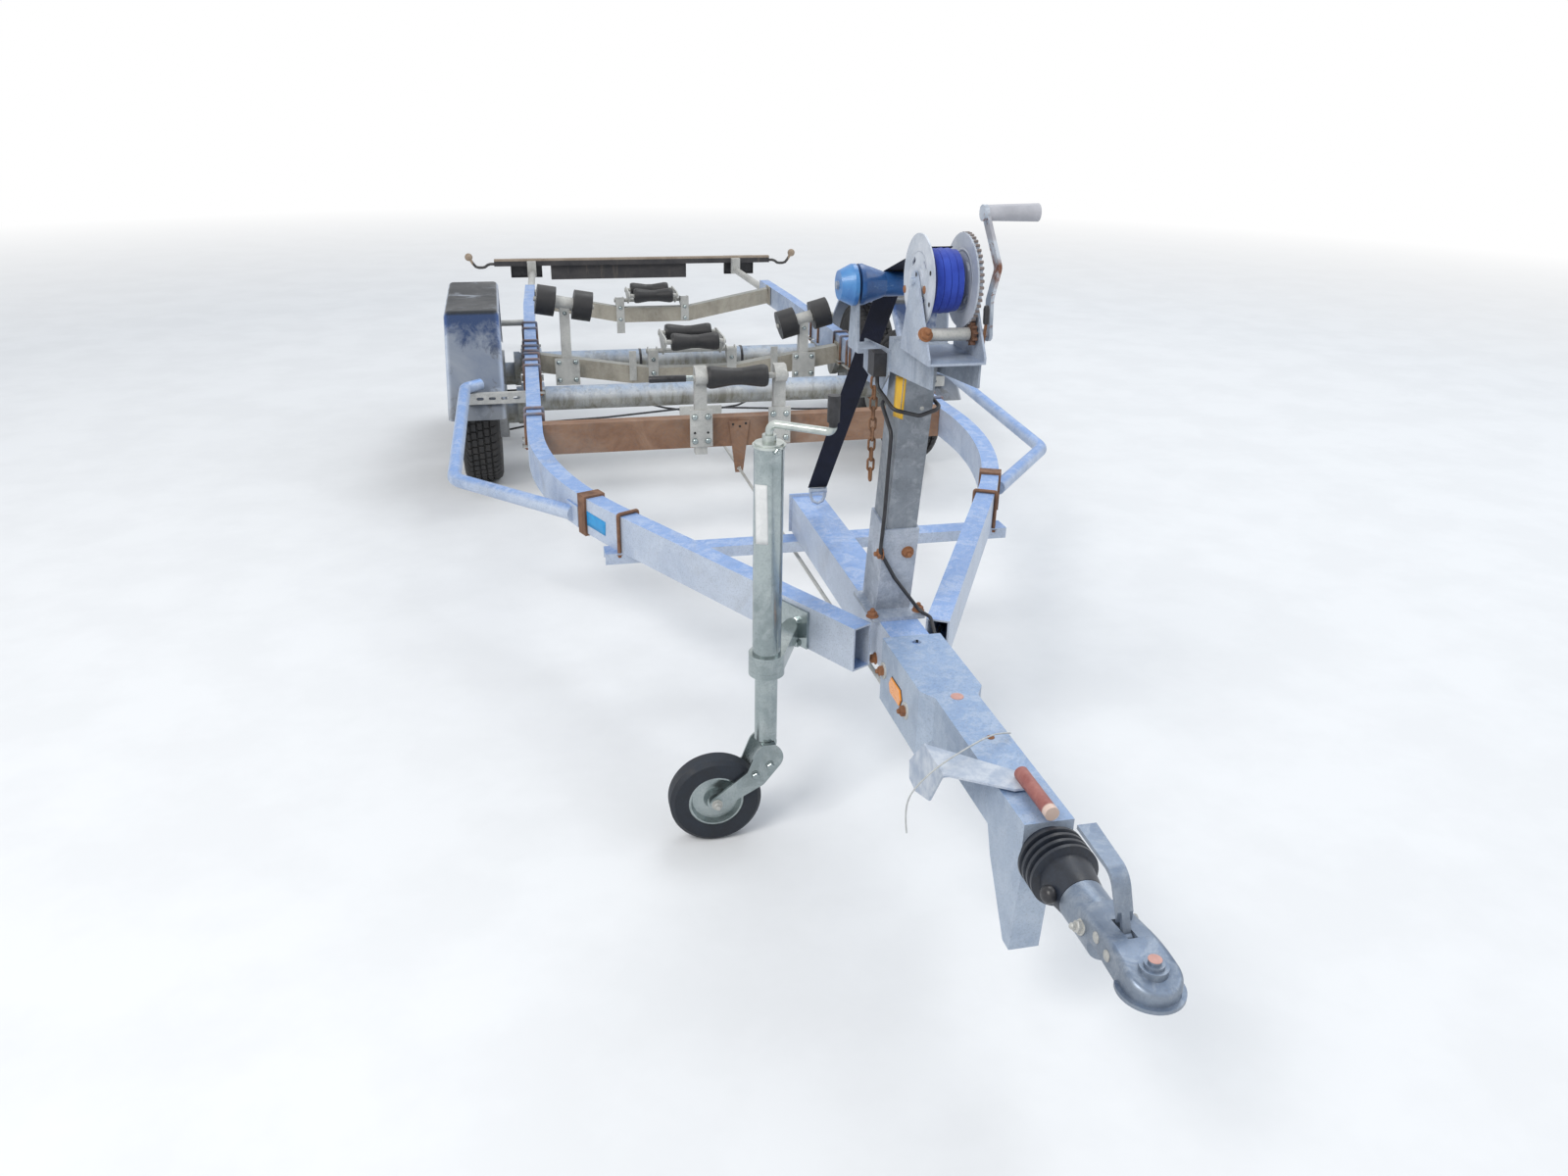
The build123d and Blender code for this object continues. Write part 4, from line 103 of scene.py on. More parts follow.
class Shader(Tree):
    """A material, patterned in the object's own coordinates in metres."""

    def __init__(self, name):
        self.material = bpy.data.materials.new(name)
        self.material.use_nodes = True
        super().__init__(self.material.node_tree)
        self.bsdf = self.node("ShaderNodeBsdfPrincipled")
        self.out = self.node("ShaderNodeOutputMaterial", {0: self.bsdf.outputs[0]})
        self.coords = self.node("ShaderNodeTexCoord").outputs["Object"]

    def noise(self, scale, detail=6.0, rough=0.6, distort=0.0, stretch=None):
        vector = self.coords
        if stretch:
            vector = self.node("ShaderNodeMapping", {"Vector": vector, "Scale": stretch}).outputs[0]
        inputs = {"Vector": vector, "Scale": scale, "Detail": detail, "Roughness": rough}
        return self.node("ShaderNodeTexNoise", {**inputs, "Distortion": distort}).outputs["Fac"]

    def cells(self, scale):
        return self.node("ShaderNodeTexVoronoi", {"Vector": self.coords, "Scale": scale}).outputs["Color"]

    def wave(self, scale, distort, direction):
        inputs = {"Vector": self.coords, "Scale": scale, "Distortion": distort, "Detail": 1.0}
        return self.node("ShaderNodeTexWave", inputs, bands_direction=direction).outputs["Fac"]

    def ramp(self, pattern, *stops):
        """Grey that follows (place, brightness) stops along a pattern."""
        node = self.node("ShaderNodeValToRGB", {0: pattern})
        band = node.color_ramp
        while len(band.elements) < len(stops):
            band.elements.new(0.5)
        for element, (place, grey) in zip(band.elements, stops):
            element.position = place
            element.color = (grey, grey, grey, 1.0)
        return node.outputs[0]

    def mix(self, fac, a, b):
        def full(value):
            if isinstance(value, (int, float)):
                return (value, value, value, 1.0)
            return (*value, 1.0) if isinstance(value, tuple) else value

        inputs = {0: fac, 6: full(a), 7: full(b)}
        return self.node("ShaderNodeMix", inputs, data_type="RGBA").outputs[2]

    def tint(self, pattern, low, high, base, colour, most=1.0):
        """Lays a colour over the base as a pattern rises from low to high."""
        return self.mix(self.ramp(pattern, (low, 0.0), (high, most)), base, colour)

    def rough(self, pattern, smooth, matt):
        """Roughness that follows a pattern."""
        return self.ramp(pattern, (0.3, smooth), (0.7, matt))

    def axis(self, name):
        return self.node("ShaderNodeSeparateXYZ", {0: self.coords}).outputs[name]

    def normal(self, name="Z"):
        facing = self.node("ShaderNodeNewGeometry").outputs["Normal"]
        return self.node("ShaderNodeSeparateXYZ", {0: facing}).outputs[name]

    def between(self, value, low, high):
        """0 at low, 1 at high, and a ramp between them; low may be the larger."""
        inputs = {"Value": value, "From Min": low, "From Max": high}
        return self.node("ShaderNodeMapRange", inputs).outputs[0]

    def rearward(self, start, end):
        """0 at a start and 1 at an end, given in millimetres behind the ball."""
        return self.between(self.axis("Y"), behind(start), behind(end))

    def reach(self, **centre):
        """Distance from a line, which is given by the two coordinates that stay the same on it."""
        offs = [self.math("SUBTRACT", self.axis(name), middle) for name, middle in centre.items()]
        return self.math("SQRT", self.math("ADD", *(self.times(off, off) for off in offs)))

    def bump(self, height, strength, distance):
        inputs = {"Height": height, "Strength": strength, "Distance": distance}
        self.put(self.bsdf, "Normal", self.node("ShaderNodeBump", inputs).outputs[0])

    def finish(self, colour, roughness, metallic=0.0, **more):
        self.put(self.bsdf, "Base Color", colour)
        self.put(self.bsdf, "Roughness", roughness)
        self.put(self.bsdf, "Metallic", metallic)
        for key, value in more.items():
            self.put(self.bsdf, key.replace("_", " "), value)
        M[self.material.name] = self.material


# Where the rails grow paler, in millimetres behind the ball, and their colour there
PALE_FROM, PALE_FULL = 2400, 1400
PALE_FRONT = (0.56, 0.60, 0.66)
DARK_GRAIN = (0.13, 0.14, 0.16)
DIRT = (0.20, 0.18, 0.15)
GRIME = (0.185, 0.175, 0.130)
DARK_GRIME = (0.10, 0.09, 0.08)
RUST_SPOT = (0.17, 0.065, 0.028)
# How a top that faces the sky is painted bluer and darker, a painted sky reflection: factors on red, green
# and blue
SKY_REFLECTION_TINT = (0.52, 0.78, 1.12)


def zinc(
    name, dark, light, patch, rust=0.0, rough=(0.42, 0.66), speckle=0.35, metallic=0.30,
    sky_reflection=0.0, grime=0.0, pale=0.0,
):
    """Hot-dip galvanising: spangle, oxide patches, dirt, a painted sky reflection that makes the top bluer,
    a paler front and rust.
    """
    s = Shader(name)
    grain = s.noise(260.0, 4.0, 0.7)
    clouds = s.noise(5.0, 8.0, 0.62, 0.6)
    fleck = s.noise(38.0, 6.0, 0.75)
    bloom = s.noise(17.0, 9.0, 0.70, 0.8)
    base = s.tint(clouds, 0.40, 0.58, dark, light)
    if pale:
        front = s.rearward(PALE_FROM, PALE_FULL)
        base = s.mix(s.times(front, pale), base, PALE_FRONT)
    if sky_reflection:
        # Painted sky reflection: faces that look up take a bluer, darker copy of the base colour
        up = s.between(s.normal("Z"), 0.45, 0.90)
        blue = tuple(tone * factor for tone, factor in zip(dark, SKY_REFLECTION_TINT))
        base = s.mix(s.times(up, sky_reflection), base, blue)
    spangle = s.ramp(s.cells(75.0), (0.0, 0.0), (1.0, 1.0))
    base = s.mix(s.times(spangle, 0.20), base, patch)
    base = s.mix(s.ramp(bloom, (0.50, 0.0), (0.58, 0.32), (0.68, 0.0)), base, patch)
    base = s.mix(s.ramp(fleck, (0.52, 0.0), (0.66, speckle * 0.75), (1.0, speckle)), base, patch)
    base = s.mix(s.ramp(grain, (0.30, 0.35), (0.50, 0.0)), base, DARK_GRAIN)
    base = s.tint(s.noise(2.6, 9.0, 0.7, 0.8), 0.55, 0.80, base, DIRT, 0.45)
    if grime:
        under = s.between(s.normal("Z"), 0.42, -0.05)
        runs = s.ramp(s.noise(34.0, 8.0, 0.7, 0.3, (1.0, 1.0, 0.12)), (0.38, 0.50), (0.60, 1.0))
        base = s.mix(s.times(under, runs, grime), base, GRIME)
        base = s.tint(runs, 0.80, 1.0, base, DARK_GRIME, 0.30 * grime)
    if rust:
        spots = s.ramp(s.noise(14.0, 10.0, 0.72, 1.2), (0.64 - 0.1 * rust, 0.0), (0.74, 1.0))
        base = s.mix(s.times(spots, rust), base, RUST_SPOT)
    s.bump(s.mix(0.5, grain, fleck), 0.26, 0.0007)
    s.finish(base, s.rough(s.mix(0.5, clouds, fleck), *rough), metallic)


def rust_brown(name, dark, light, grey=0.25):
    s = Shader(name)
    broad = s.noise(7.0, 10.0, 0.7, 1.0)
    fine = s.noise(90.0, 8.0, 0.75)
    base = s.tint(broad, 0.35, 0.66, dark, light)
    base = s.tint(fine, 0.35, 0.70, base, (0.34, 0.17, 0.08), 0.55)
    base = s.tint(s.noise(3.0, 6.0), 0.5, 0.75, base, (0.36, 0.34, 0.31), grey)
    s.bump(s.mix(0.4, broad, fine), 0.55, 0.0012)
    s.finish(base, s.ramp(fine, (0.3, 0.72), (0.7, 0.92)), 0.1)


def rubber(name, base, dust, dusty=0.35, rough=(0.5, 0.8)):
    s = Shader(name)
    cloud = s.noise(22.0, 8.0, 0.7, 0.5)
    fine = s.noise(198.0, 4.0, 0.6)
    colour = s.tint(cloud, 0.42, 0.75, base, dust, dusty)
    colour = s.tint(fine, 0.5, 0.8, colour, dust, dusty * 0.5)
    s.bump(s.mix(0.5, cloud, fine), 0.2, 0.0008)
    s.finish(colour, s.rough(cloud, *rough))


def plastic(name, base, tone, dirt, rough=(0.3, 0.5), scale=12.0, coat=0.0):
    s = Shader(name)
    cloud = s.noise(scale, 7.0, 0.65, 0.4)
    fine = s.noise(scale * 14, 5.0, 0.7)
    colour = s.tint(cloud, 0.35, 0.70, base, tone)
    colour = s.tint(fine, 0.58, 0.85, colour, dirt, 0.5)
    s.bump(fine, 0.12, 0.0005)
    s.finish(colour, s.rough(cloud, *rough), Coat_Weight=coat)


def webbing(name, base, edge, sheen=0.25):
    s = Shader(name)
    weave = s.wave(260.0, 0.6, "X")
    rows = s.wave(190.0, 0.8, "DIAGONAL")
    colour = s.tint(s.noise(16.0, 6.0, 0.65), 0.35, 0.7, base, edge)
    colour = s.mix(s.times(weave, 0.35), colour, (0.0, 0.0, 0.01))
    s.bump(s.mix(0.5, weave, rows), 0.45, 0.0008)
    s.finish(colour, 0.75, Sheen_Weight=sheen, IOR=1.3)


BLACK, BLACK_WORN = (0.010, 0.010, 0.012), (0.03, 0.03, 0.035)
LENS_LOOK = ((0.12, 0.3), 14.0, 0.6)
# Each material's values, in the order that its function takes them
TABLES = {
    # For zinc the eighth value is the strength of the painted sky reflection on faces that look up
    zinc: {
        "rail zinc": (
            (0.30, 0.39, 0.56), (0.46, 0.54, 0.68), (0.62, 0.68, 0.78), 0.0,
            (0.42, 0.66), 0.35, 0.30, 0.85, 0.0, 0.7,
        ),
        "bracket zinc": ((0.38, 0.38, 0.36), (0.52, 0.52, 0.49), (0.62, 0.61, 0.58), 0.15),
        "weathered beam": (
            (0.30, 0.27, 0.22), (0.44, 0.40, 0.33), (0.52, 0.49, 0.42), 0.3,
            (0.5, 0.8), 0.2, 0.1, 0.45, 0.25,
        ),
        "axle zinc": (
            (0.36, 0.40, 0.46), (0.52, 0.54, 0.56), (0.62, 0.62, 0.58), 0.2,
            (0.45, 0.75), 0.3, 0.2, 0.5, 0.9,
        ),
        "housing zinc": (
            (0.30, 0.37, 0.48), (0.41, 0.48, 0.58), (0.52, 0.58, 0.66), 0.10,
            (0.45, 0.7), 0.45, 0.30, 0.55,
        ),
        "post zinc": (
            (0.125, 0.14, 0.16), (0.215, 0.24, 0.27), (0.40, 0.42, 0.45), 0.12,
            (0.5, 0.75), 0.6, 0.25, 0.35,
        ),
        "bright zinc": (
            (0.27, 0.32, 0.325), (0.40, 0.455, 0.455), (0.54, 0.59, 0.59), 0.0,
            (0.16, 0.28), 0.05, 0.88,
        ),
        "winch zinc": (
            (0.31, 0.36, 0.45), (0.45, 0.51, 0.60), (0.58, 0.62, 0.68), 0.22,
            (0.38, 0.6), 0.25, 0.30, 0.3,
        ),
        "socket zinc": (
            (0.24, 0.27, 0.32), (0.40, 0.44, 0.51), (0.60, 0.63, 0.68), 0.15,
            (0.5, 0.75), 0.7, 0.25, 0.35,
        ),
        # Darkened as painted shade: the shadow inside the winch table is painted into its colour
        "table zinc": (
            (0.22, 0.26, 0.32), (0.35, 0.40, 0.48), (0.54, 0.58, 0.64), 0.12, (0.5, 0.75), 0.4,
        ),
        "coupling zinc": (
            (0.15, 0.185, 0.24), (0.24, 0.285, 0.35), (0.38, 0.42, 0.47), 0.05,
            (0.30, 0.5), 0.35, 0.50, 0.35,
        ),
        "wheel silver": (
            (0.30, 0.31, 0.32), (0.46, 0.47, 0.48), (0.56, 0.56, 0.55), 0.2, (0.4, 0.6), 0.15,
        ),
    },
    rust_brown: {
        "rusty steel": ((0.10, 0.045, 0.022), (0.26, 0.13, 0.07)),
        "rusty bolts": ((0.16, 0.055, 0.022), (0.33, 0.14, 0.06), 0.1),
        "rusty beam": ((0.15, 0.085, 0.060), (0.30, 0.20, 0.145), 0.5),
    },
    rubber: {
        "tyre rubber": ((0.012, 0.012, 0.013), (0.10, 0.09, 0.08)),
        "small tyre rubber": ((0.008, 0.011, 0.017), (0.050, 0.070, 0.100), 0.3),
        "roller rubber": ((0.012, 0.012, 0.014), (0.07, 0.065, 0.06), 0.25, (0.35, 0.6)),
        "sleeve rubber": ((0.008, 0.011, 0.018), (0.055, 0.075, 0.115), 0.3, (0.30, 0.55)),
        # Near-black for the discs that stand for holes: painted shade
        "dark hole": ((0.006, 0.006, 0.007), (0.03, 0.025, 0.02), 0.3),
    },
    webbing: {
        "wound webbing": ((0.022, 0.050, 0.40), (0.050, 0.115, 0.62)),
        "hanging webbing": ((0.003, 0.004, 0.012), (0.006, 0.009, 0.030), 0.05),
    },
    plastic: {
        "red lens": ((0.34, 0.008, 0.008), (0.46, 0.02, 0.015), (0.2, 0.1, 0.08), *LENS_LOOK),
        "amber lens": ((0.66, 0.20, 0.01), (0.78, 0.28, 0.02), (0.4, 0.2, 0.08), *LENS_LOOK),
        "clear lens": ((0.60, 0.60, 0.58), (0.72, 0.72, 0.70), (0.3, 0.3, 0.28), *LENS_LOOK),
        "orange reflector": (
            (0.80, 0.24, 0.004), (0.90, 0.34, 0.010), (0.4, 0.2, 0.05), (0.2, 0.4), 60.0, 0.5,
        ),
        "cable sheath": (BLACK, BLACK_WORN, (0.1, 0.1, 0.1), (0.35, 0.55), 60.0),
        "black plastic": (BLACK, BLACK_WORN, (0.09, 0.09, 0.09), (0.25, 0.45), 50.0),
        "pale wire": ((0.42, 0.43, 0.42), (0.58, 0.59, 0.57), (0.3, 0.25, 0.2), (0.3, 0.5), 90.0),
        "yellow label": ((0.78, 0.42, 0.008), (0.86, 0.52, 0.02), (0.4, 0.25, 0.05), (0.3, 0.5), 30.0),
        "white label": ((0.66, 0.67, 0.66), (0.78, 0.78, 0.77), (0.24, 0.24, 0.24), (0.4, 0.6), 50.0),
        "blue label": ((0.015, 0.24, 0.56), (0.03, 0.34, 0.66), (0.3, 0.4, 0.5), (0.4, 0.6), 50.0),
        "worn pin": ((0.50, 0.26, 0.22), (0.62, 0.36, 0.31), (0.25, 0.14, 0.1), (0.45, 0.7), 80.0),
    },
}
for make, table in TABLES.items():
    for name, values in table.items():
        make(name, *values)

# Heights of the guards' band of painted sky reflection below their top, and of their dusty foot above the
# ground
GUARD_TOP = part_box("left_mudguard")[1][2]
SKY_REFLECTION_BAND = (0.115, 0.050)
GUARD_FOOT = (0.46, 0.34)


def guard_material():
    """Glossy blue-white sheet: a dark painted reflection on its top, a blue band of painted sky reflection
    under the brow, dirt runs.
    """
    s = Shader("mudguard sheet")
    runs = s.noise(13.0, 8.0, 0.7, 0.3, (1.0, 1.0, 0.08))
    broad = s.noise(3.5, 8.0, 0.65, 0.8)
    fine = s.noise(110.0, 5.0, 0.7)
    base = s.tint(broad, 0.38, 0.64, (0.38, 0.44, 0.56), (0.56, 0.61, 0.69))
    base = s.tint(runs, 0.55, 0.63, base, (0.20, 0.21, 0.22), 0.75)
    foot = s.between(s.axis("Z"), *GUARD_FOOT)
    base = s.mix(s.times(foot, 0.45), base, (0.33, 0.31, 0.26))
    # Painted sky reflection: a deep blue band with a ragged edge on the front faces just under the top
    ragged = s.math("ADD", s.axis("Z"), s.times(s.math("SUBTRACT", runs, 0.5), 0.28))
    front = s.between(s.normal("Y"), -0.15, -0.45)
    painted_sky_band = s.times(s.between(ragged, *(GUARD_TOP - depth for depth in SKY_REFLECTION_BAND)), front)
    base = s.mix(s.times(painted_sky_band, 0.95), base, (0.040, 0.090, 0.25))
    # Painted reflection: patchy near-black on faces that look up
    up = s.between(s.normal("Z"), 0.55, 0.85)
    dark_reflection = s.ramp(s.noise(6.0, 9.0, 0.75, 1.0), (0.30, 0.45), (0.45, 1.0))
    base = s.mix(s.times(up, dark_reflection), base, (0.022, 0.026, 0.032))
    base = s.tint(fine, 0.6, 0.85, base, (0.22, 0.22, 0.2), 0.4)
    s.bump(fine, 0.08, 0.0004)
    s.finish(base, s.rough(broad, 0.30, 0.50), 0.0, IOR=1.22)


# The lever's grip: height of its axis, its radius, and its ends, in millimetres behind the ball
GRIP_HEIGHT = 0.5077
GRIP_RADIUS = (0.0128, 0.0124)
GRIP_REAR = (443, 441)
GRIP_TIP = (334, 330)


def lever_material():
    """Zinc lever with a faded red grip, pale at its tip."""
    s = Shader("lever and grip")
    cloud = s.noise(30.0, 8.0, 0.7)
    fine = s.noise(240.0, 5.0, 0.7)
    zinc_tone = s.tint(cloud, 0.40, 0.60, (0.36, 0.42, 0.52), (0.56, 0.60, 0.66))
    red_tone = s.tint(cloud, 0.35, 0.70, (0.27, 0.085, 0.075), (0.44, 0.20, 0.17))
    before_rear = s.rearward(*GRIP_REAR)
    grip = s.times(before_rear, s.between(s.reach(X=0.0, Z=GRIP_HEIGHT), *GRIP_RADIUS))
    tip = s.times(s.rearward(*GRIP_TIP), grip)
    base = s.mix(grip, zinc_tone, red_tone)
    base = s.mix(tip, base, (0.68, 0.52, 0.44))
    base = s.tint(fine, 0.6, 0.85, base, (0.16, 0.11, 0.09), 0.35)
    s.bump(s.mix(0.5, cloud, fine), 0.25, 0.0008)
    s.finish(base, s.rough(cloud, 0.45, 0.72), 0.1)


# The small crank's knob, back from its box's end in X and down from its top in Z
KNOB_WIDTH = (0.042, 0.040)
KNOB_HEIGHT = (0.062, 0.060)


def jockey_crank_material():
    """Bright zinc crank with a black knob."""
    s = Shader("crank and knob")
    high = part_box("jockey_crank")[1]
    cloud = s.noise(26.0, 7.0, 0.65)
    fine = s.noise(260.0, 4.0, 0.7)
    bright = s.tint(cloud, 0.4, 0.6, (0.40, 0.44, 0.42), (0.56, 0.60, 0.57))
    black = s.tint(cloud, 0.4, 0.6, BLACK, (0.035, 0.035, 0.04))
    knob = s.times(
        s.between(s.axis("X"), *(high[0] - back for back in KNOB_WIDTH)),
        s.between(s.axis("Z"), *(high[2] - down for down in KNOB_HEIGHT)),
    )
    s.bump(s.mix(0.5, cloud, fine), 0.15, 0.0005)
    s.finish(s.mix(knob, bright, black), s.mix(knob, 0.30, 0.45), s.mix(knob, 0.75, 0.0))


def bow_roller_material():
    """Blue spool with lighter end cups, scuffed."""
    s = Shader("blue spool")
    low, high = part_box("bow_roller")
    half = (high[0] - low[0]) / 2
    middle = (high[0] + low[0]) / 2
    cloud = s.noise(14.0, 8.0, 0.7, 0.4)
    scuff = s.noise(70.0, 8.0, 0.75, 0.2, (0.4, 1.0, 1.0))
    away = s.math("ABSOLUTE", s.math("SUBTRACT", s.axis("X"), middle))
    dark = s.tint(cloud, 0.35, 0.68, (0.010, 0.050, 0.16), (0.030, 0.12, 0.34))
    light = s.tint(cloud, 0.35, 0.68, (0.035, 0.15, 0.42), (0.09, 0.30, 0.60))
    base = s.mix(s.between(away, half * 0.68, half * 0.76), dark, light)
    base = s.tint(scuff, 0.58, 0.72, base, (0.28, 0.42, 0.56), 0.5)
    s.bump(scuff, 0.15, 0.0006)
    s.finish(base, s.rough(cloud, 0.28, 0.50), Coat_Weight=0.2)


# Heights between which the light board's paler top edge begins
BOARD_EDGE = (0.502, 0.505)


def board_material():
    """Dark board with a beige-brown top edge and streaks down its face."""
    s = Shader("light board")
    cloud = s.noise(9.0, 8.0, 0.7)
    runs = s.noise(22.0, 7.0, 0.7, 0.2, (1.0, 1.0, 0.1))
    face = s.tint(cloud, 0.35, 0.68, (0.018, 0.018, 0.022), (0.060, 0.055, 0.055))
    face = s.tint(runs, 0.58, 0.70, face, (0.16, 0.13, 0.10), 0.5)
    top = s.tint(cloud, 0.35, 0.68, (0.24, 0.18, 0.13), (0.40, 0.33, 0.26))
    edge = s.math("MAXIMUM", s.between(s.normal("Z"), 0.4, 0.8), s.between(s.axis("Z"), *BOARD_EDGE))
    s.bump(s.mix(0.5, cloud, runs), 0.25, 0.0010)
    s.finish(s.mix(edge, face, top), s.rough(cloud, 0.5, 0.8))


# The winch crank: heights of its rusty elbow, X of its pinion's faces, and where its grip begins
ELBOW_FOOT, ELBOW_TOP = (1.205, 1.225), (1.262, 1.246)
PINION_INNER, PINION_OUTER = (0.033, 0.0335), (0.0435, 0.043)
CRANK_GRIP_INNER, CRANK_GRIP_FOOT = (0.0625, 0.063), (1.285, 1.290)


def crank_material():
    """Zinc crank, rusty along its bends and on its pinion, with a grey-white grip."""
    s = Shader("winch crank")
    cloud = s.noise(20.0, 8.0, 0.7)
    patches = s.noise(26.0, 9.0, 0.75, 0.8)
    fine = s.noise(240.0, 4.0, 0.7)
    x, z = s.axis("X"), s.axis("Z")
    bar = s.tint(cloud, 0.4, 0.6, (0.38, 0.43, 0.50), (0.56, 0.60, 0.65))
    bar = s.tint(patches, 0.57, 0.63, bar, (0.20, 0.075, 0.035), 0.9)
    elbow = s.times(s.between(z, *ELBOW_FOOT), s.between(z, *ELBOW_TOP))
    rusty = s.ramp(patches, (0.40, 0.2), (0.52, 1.0))
    bar = s.mix(s.times(elbow, rusty), bar, (0.17, 0.065, 0.035))
    pinion = s.times(s.between(x, *PINION_INNER), s.between(x, *PINION_OUTER))
    bar = s.mix(pinion, bar, (0.15, 0.075, 0.045))
    grip_tone = s.tint(cloud, 0.35, 0.7, (0.36, 0.36, 0.39), (0.50, 0.50, 0.53))
    grip = s.times(s.between(x, *CRANK_GRIP_INNER), s.between(z, *CRANK_GRIP_FOOT))
    s.bump(s.mix(0.5, patches, fine), 0.25, 0.0007)
    s.finish(s.mix(grip, bar, grip_tone), s.rough(cloud, 0.45, 0.7), 0.1)


# The winch: its two shafts; radii of the teeth's foot and of the embossed ring's edges, and X of
# the toothed flange's inner face
DRUM_PLACE = (behind(950), 1.215)
PINION_PLACE = (behind(899), 1.130)
TEETH_FOOT, TEETH_INNER = (0.0795, 0.0815), (0.0325, 0.0330)
RING_INNER, RING_OUTER = (0.050, 0.052), (0.0560, 0.0545)


def drum_material():
    """Zinc flanges with an embossed ring; the toothed one is rusty at its teeth."""
    s = Shader("winch drum")
    reach = s.reach(Y=DRUM_PLACE[0], Z=DRUM_PLACE[1])
    cloud = s.noise(12.0, 8.0, 0.7)
    fleck = s.noise(60.0, 6.0, 0.75)
    base = s.tint(cloud, 0.4, 0.6, (0.42, 0.46, 0.52), (0.58, 0.61, 0.66))
    base = s.tint(fleck, 0.55, 0.62, base, (0.68, 0.70, 0.73), 0.3)
    base = s.tint(s.noise(9.0, 9.0, 0.75), 0.60, 0.68, base, (0.26, 0.15, 0.09), 0.5)
    teeth = s.times(s.between(reach, *TEETH_FOOT), s.between(s.axis("X"), *TEETH_INNER))
    base = s.mix(s.times(teeth, 0.8), base, (0.14, 0.085, 0.055))
    ring = s.times(s.between(reach, *RING_INNER), s.between(reach, *RING_OUTER))
    s.bump(s.math("ADD", ring, s.times(fleck, 0.15)), 0.8, 0.0016)
    s.finish(base, s.rough(cloud, 0.40, 0.62), 0.25)


# Where the clamps turn from rusty to grey: behind the ball in millimetres, and height in metres
GREY_FROM = (2500, 2700)
GREY_HEIGHT = (0.44, 0.49)


def clamp_material():
    """Rusty straps at the front; the bars farther back are grey with rust at their feet."""
    s = Shader("rail clamps")
    broad = s.noise(16.0, 10.0, 0.7, 1.0)
    fine = s.noise(120.0, 8.0, 0.75)
    rusty = s.tint(broad, 0.35, 0.66, (0.10, 0.045, 0.025), (0.25, 0.13, 0.075))
    grey = s.tint(broad, 0.42, 0.60, (0.19, 0.22, 0.29), (0.33, 0.37, 0.46))
    back = s.rearward(*GREY_FROM)
    high = s.between(s.axis("Z"), *GREY_HEIGHT)
    part = s.times(back, s.times(high, s.ramp(broad, (0.40, 1.0), (0.56, 0.25))))
    s.bump(s.mix(0.4, broad, fine), 0.5, 0.0011)
    s.finish(s.mix(part, rusty, grey), s.rough(fine, 0.6, 0.85), 0.1)


# How far out the balls on the marker arms begin
MARKER_BALL_INNER = (0.936, 0.940)


def marker_material():
    """Black marker arms with pale brown balls."""
    s = Shader("marker arms")
    cloud = s.noise(30.0, 8.0, 0.7)
    ball = s.between(s.math("ABSOLUTE", s.axis("X")), *MARKER_BALL_INNER)
    dark = s.tint(cloud, 0.35, 0.68, (0.02, 0.02, 0.022), (0.07, 0.065, 0.06))
    pale = s.tint(cloud, 0.35, 0.68, (0.26, 0.19, 0.13), (0.42, 0.33, 0.25))
    s.bump(cloud, 0.2, 0.0008)
    s.finish(s.mix(ball, dark, pale), s.rough(cloud, 0.45, 0.7))


for make in (
    clamp_material, guard_material, lever_material, jockey_crank_material, bow_roller_material,
    board_material, crank_material, drum_material, marker_material,
):
    make()

# The nodes of each material; the other nodes are rims, tyres and rollers by their names
MATERIAL_NODES = {
    "rail zinc": "left_rail right_rail centre_tube front_crossmember guard_tubes",
    "rusty beam": "keel_crossbeam",
    "weathered beam": "middle_v_beam rear_v_beam",
    "axle zinc": "front_axle rear_axle",
    "mudguard sheet": "left_mudguard right_mudguard",
    "bracket zinc": "mudguard_brackets brake_linkage roller_brackets board_tubes middle_cradle rear_cradle",
    "rail clamps": "rail_clamps",
    "housing zinc": "overrun_housing",
    "sleeve rubber": "bellows",
    "coupling zinc": "coupling_head coupling_handle",
    "lever and grip": "handbrake_lever",
    "cable sheath": "brake_cables lighting_cable",
    "bright zinc": "jockey_clamp jockey_outer_tube jockey_inner_tube jockey_fork jockey_rim",
    "crank and knob": "jockey_crank",
    "small tyre rubber": "jockey_tyre",
    "socket zinc": "winch_post_socket",
    "post zinc": "winch_post",
    "table zinc": "winch_table",
    "winch zinc": "winch_frame",
    "winch drum": "winch_drum",
    "wound webbing": "wound_strap",
    "winch crank": "winch_crank",
    "blue spool": "bow_roller",
    "hanging webbing": "winch_strap",
    "rusty steel": "safety_chain",
    "light board": "light_board",
    "marker arms": "lamps_and_reflectors",
}
ENDINGS = {"rim": "wheel silver", "tyre": "tyre rubber"}
NODE_MATERIAL = {name: key for key, names in MATERIAL_NODES.items() for name in names.split()}
for name, o in nodes.items():
    by_ending = ENDINGS.get(name.rsplit("_", 1)[-1], "roller rubber")
    o.data.materials.clear()
    o.data.materials.append(M[NODE_MATERIAL.get(name, by_ending)])

# The camera, at the photograph's viewing angle, and the frame that the photograph has in pixels

